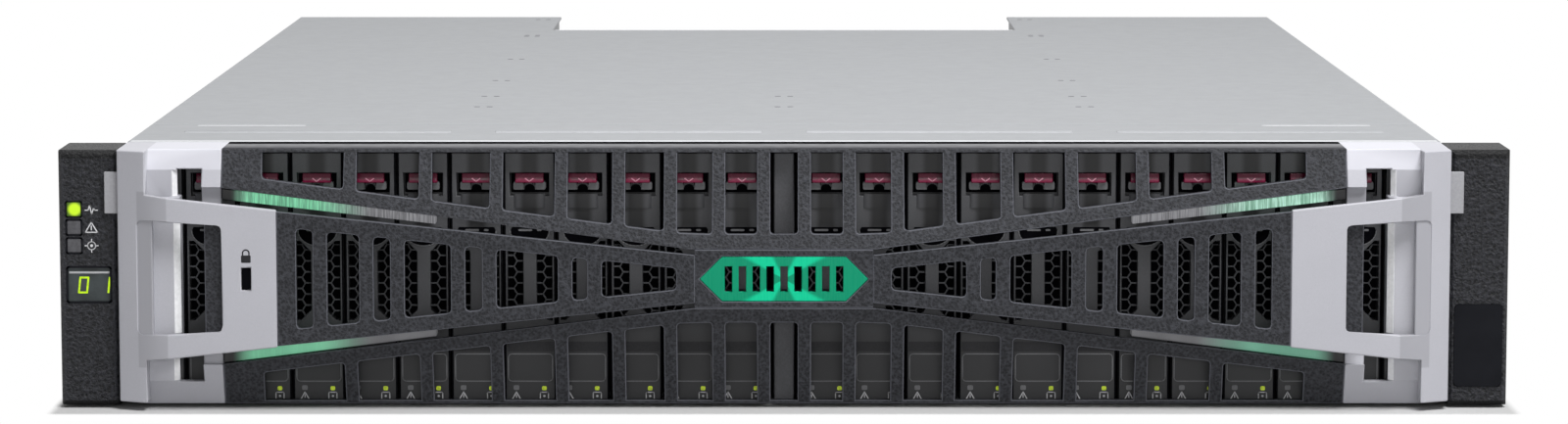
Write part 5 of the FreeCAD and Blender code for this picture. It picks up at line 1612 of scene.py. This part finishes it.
def set_up_studio():
    """Floor, sky, lights and camera."""
    bpy.context.scene.view_settings.view_transform = "Standard"
    studio_floor()
    studio_sky()
    studio_light("key_light", (0.60, -1.05, 1.72), (0.9, 0.7), studio().key)
    studio_light("front_light", (0.15, -2.3, 0.35), (1.0, 0.5), studio().fill)
    studio_light("top_light", (0.0, 0.1, 0.95), (0.35, 0.7), studio().top)
    studio_camera()


# Operators, one for each group of pieces


class ARRAY_OT_sheet_metal(bpy.types.Operator):
    """Dress the chassis tray, cover, flanges and inner sheets"""

    bl_idname = "array.sheet_metal"
    bl_label = "Sheet metal"

    def execute(self, context):
        dress_sheet_metal()
        return {"FINISHED"}


class ARRAY_OT_ears(bpy.types.Operator):
    """Dress the ear covers, lenses and display"""

    bl_idname = "array.ears"
    bl_label = "Ears"

    def execute(self, context):
        dress_ears()
        return {"FINISHED"}


class ARRAY_OT_drives(bpy.types.Operator):
    """Dress the drive fronts and the bay"""

    bl_idname = "array.drives"
    bl_label = "Drives"

    def execute(self, context):
        dress_drives()
        return {"FINISHED"}


class ARRAY_OT_bezel(bpy.types.Operator):
    """Dress the bezel: grille, wings, hub, castings and tabs"""

    bl_idname = "array.bezel"
    bl_label = "Bezel"

    def execute(self, context):
        dress_bezel()
        return {"FINISHED"}


class ARRAY_OT_canisters(bpy.types.Operator):
    """Dress the controller canisters"""

    bl_idname = "array.canisters"
    bl_label = "Canisters"

    def execute(self, context):
        dress_canisters()
        return {"FINISHED"}


class ARRAY_OT_power_modules(bpy.types.Operator):
    """Dress the power modules"""

    bl_idname = "array.power_modules"
    bl_label = "Power modules"

    def execute(self, context):
        dress_power_modules()
        return {"FINISHED"}


class ARRAY_OT_studio(bpy.types.Operator):
    """Set up the floor, light and camera"""

    bl_idname = "array.studio"
    bl_label = "Studio"

    def execute(self, context):
        set_up_studio()
        return {"FINISHED"}


OPERATORS = (
    ARRAY_OT_sheet_metal,
    ARRAY_OT_ears,
    ARRAY_OT_drives,
    ARRAY_OT_bezel,
    ARRAY_OT_canisters,
    ARRAY_OT_power_modules,
    ARRAY_OT_studio,
)


class ARRAY_PT_panel(bpy.types.Panel):
    """Lists the array's operators and settings"""

    bl_label = "Storage array"
    bl_idname = "ARRAY_PT_panel"
    bl_space_type = "VIEW_3D"
    bl_region_type = "UI"
    bl_category = "Array"

    def draw(self, context):
        for operator in OPERATORS:
            self.layout.operator(operator.bl_idname)
        for settings in (context.scene.array_sizes, context.scene.array_colours, context.scene.array_studio):
            column = self.layout.box().column()
            for key in settings.__annotations__:
                column.prop(settings, key)


GROUPS = (("array_sizes", ArraySizes), ("array_colours", ArrayColours), ("array_studio", ArrayStudio))


def register():
    """Registers the settings, operators and panel."""
    for name, group in GROUPS:
        bpy.utils.register_class(group)
        setattr(bpy.types.Scene, name, PointerProperty(type=group))
    for item in (*OPERATORS, ARRAY_PT_panel):
        bpy.utils.register_class(item)


def unregister():
    """Takes the panel, operators and settings away again."""
    for item in reversed((*OPERATORS, ARRAY_PT_panel)):
        bpy.utils.unregister_class(item)
    for name, group in reversed(GROUPS):
        delattr(bpy.types.Scene, name)
        bpy.utils.unregister_class(group)


def main():
    """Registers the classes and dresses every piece."""
    register()
    bpy.ops.array.sheet_metal()
    bpy.ops.array.ears()
    bpy.ops.array.drives()
    bpy.ops.array.bezel()
    bpy.ops.array.canisters()
    bpy.ops.array.power_modules()
    bpy.ops.array.studio()


if __name__ == "__main__":
    main()
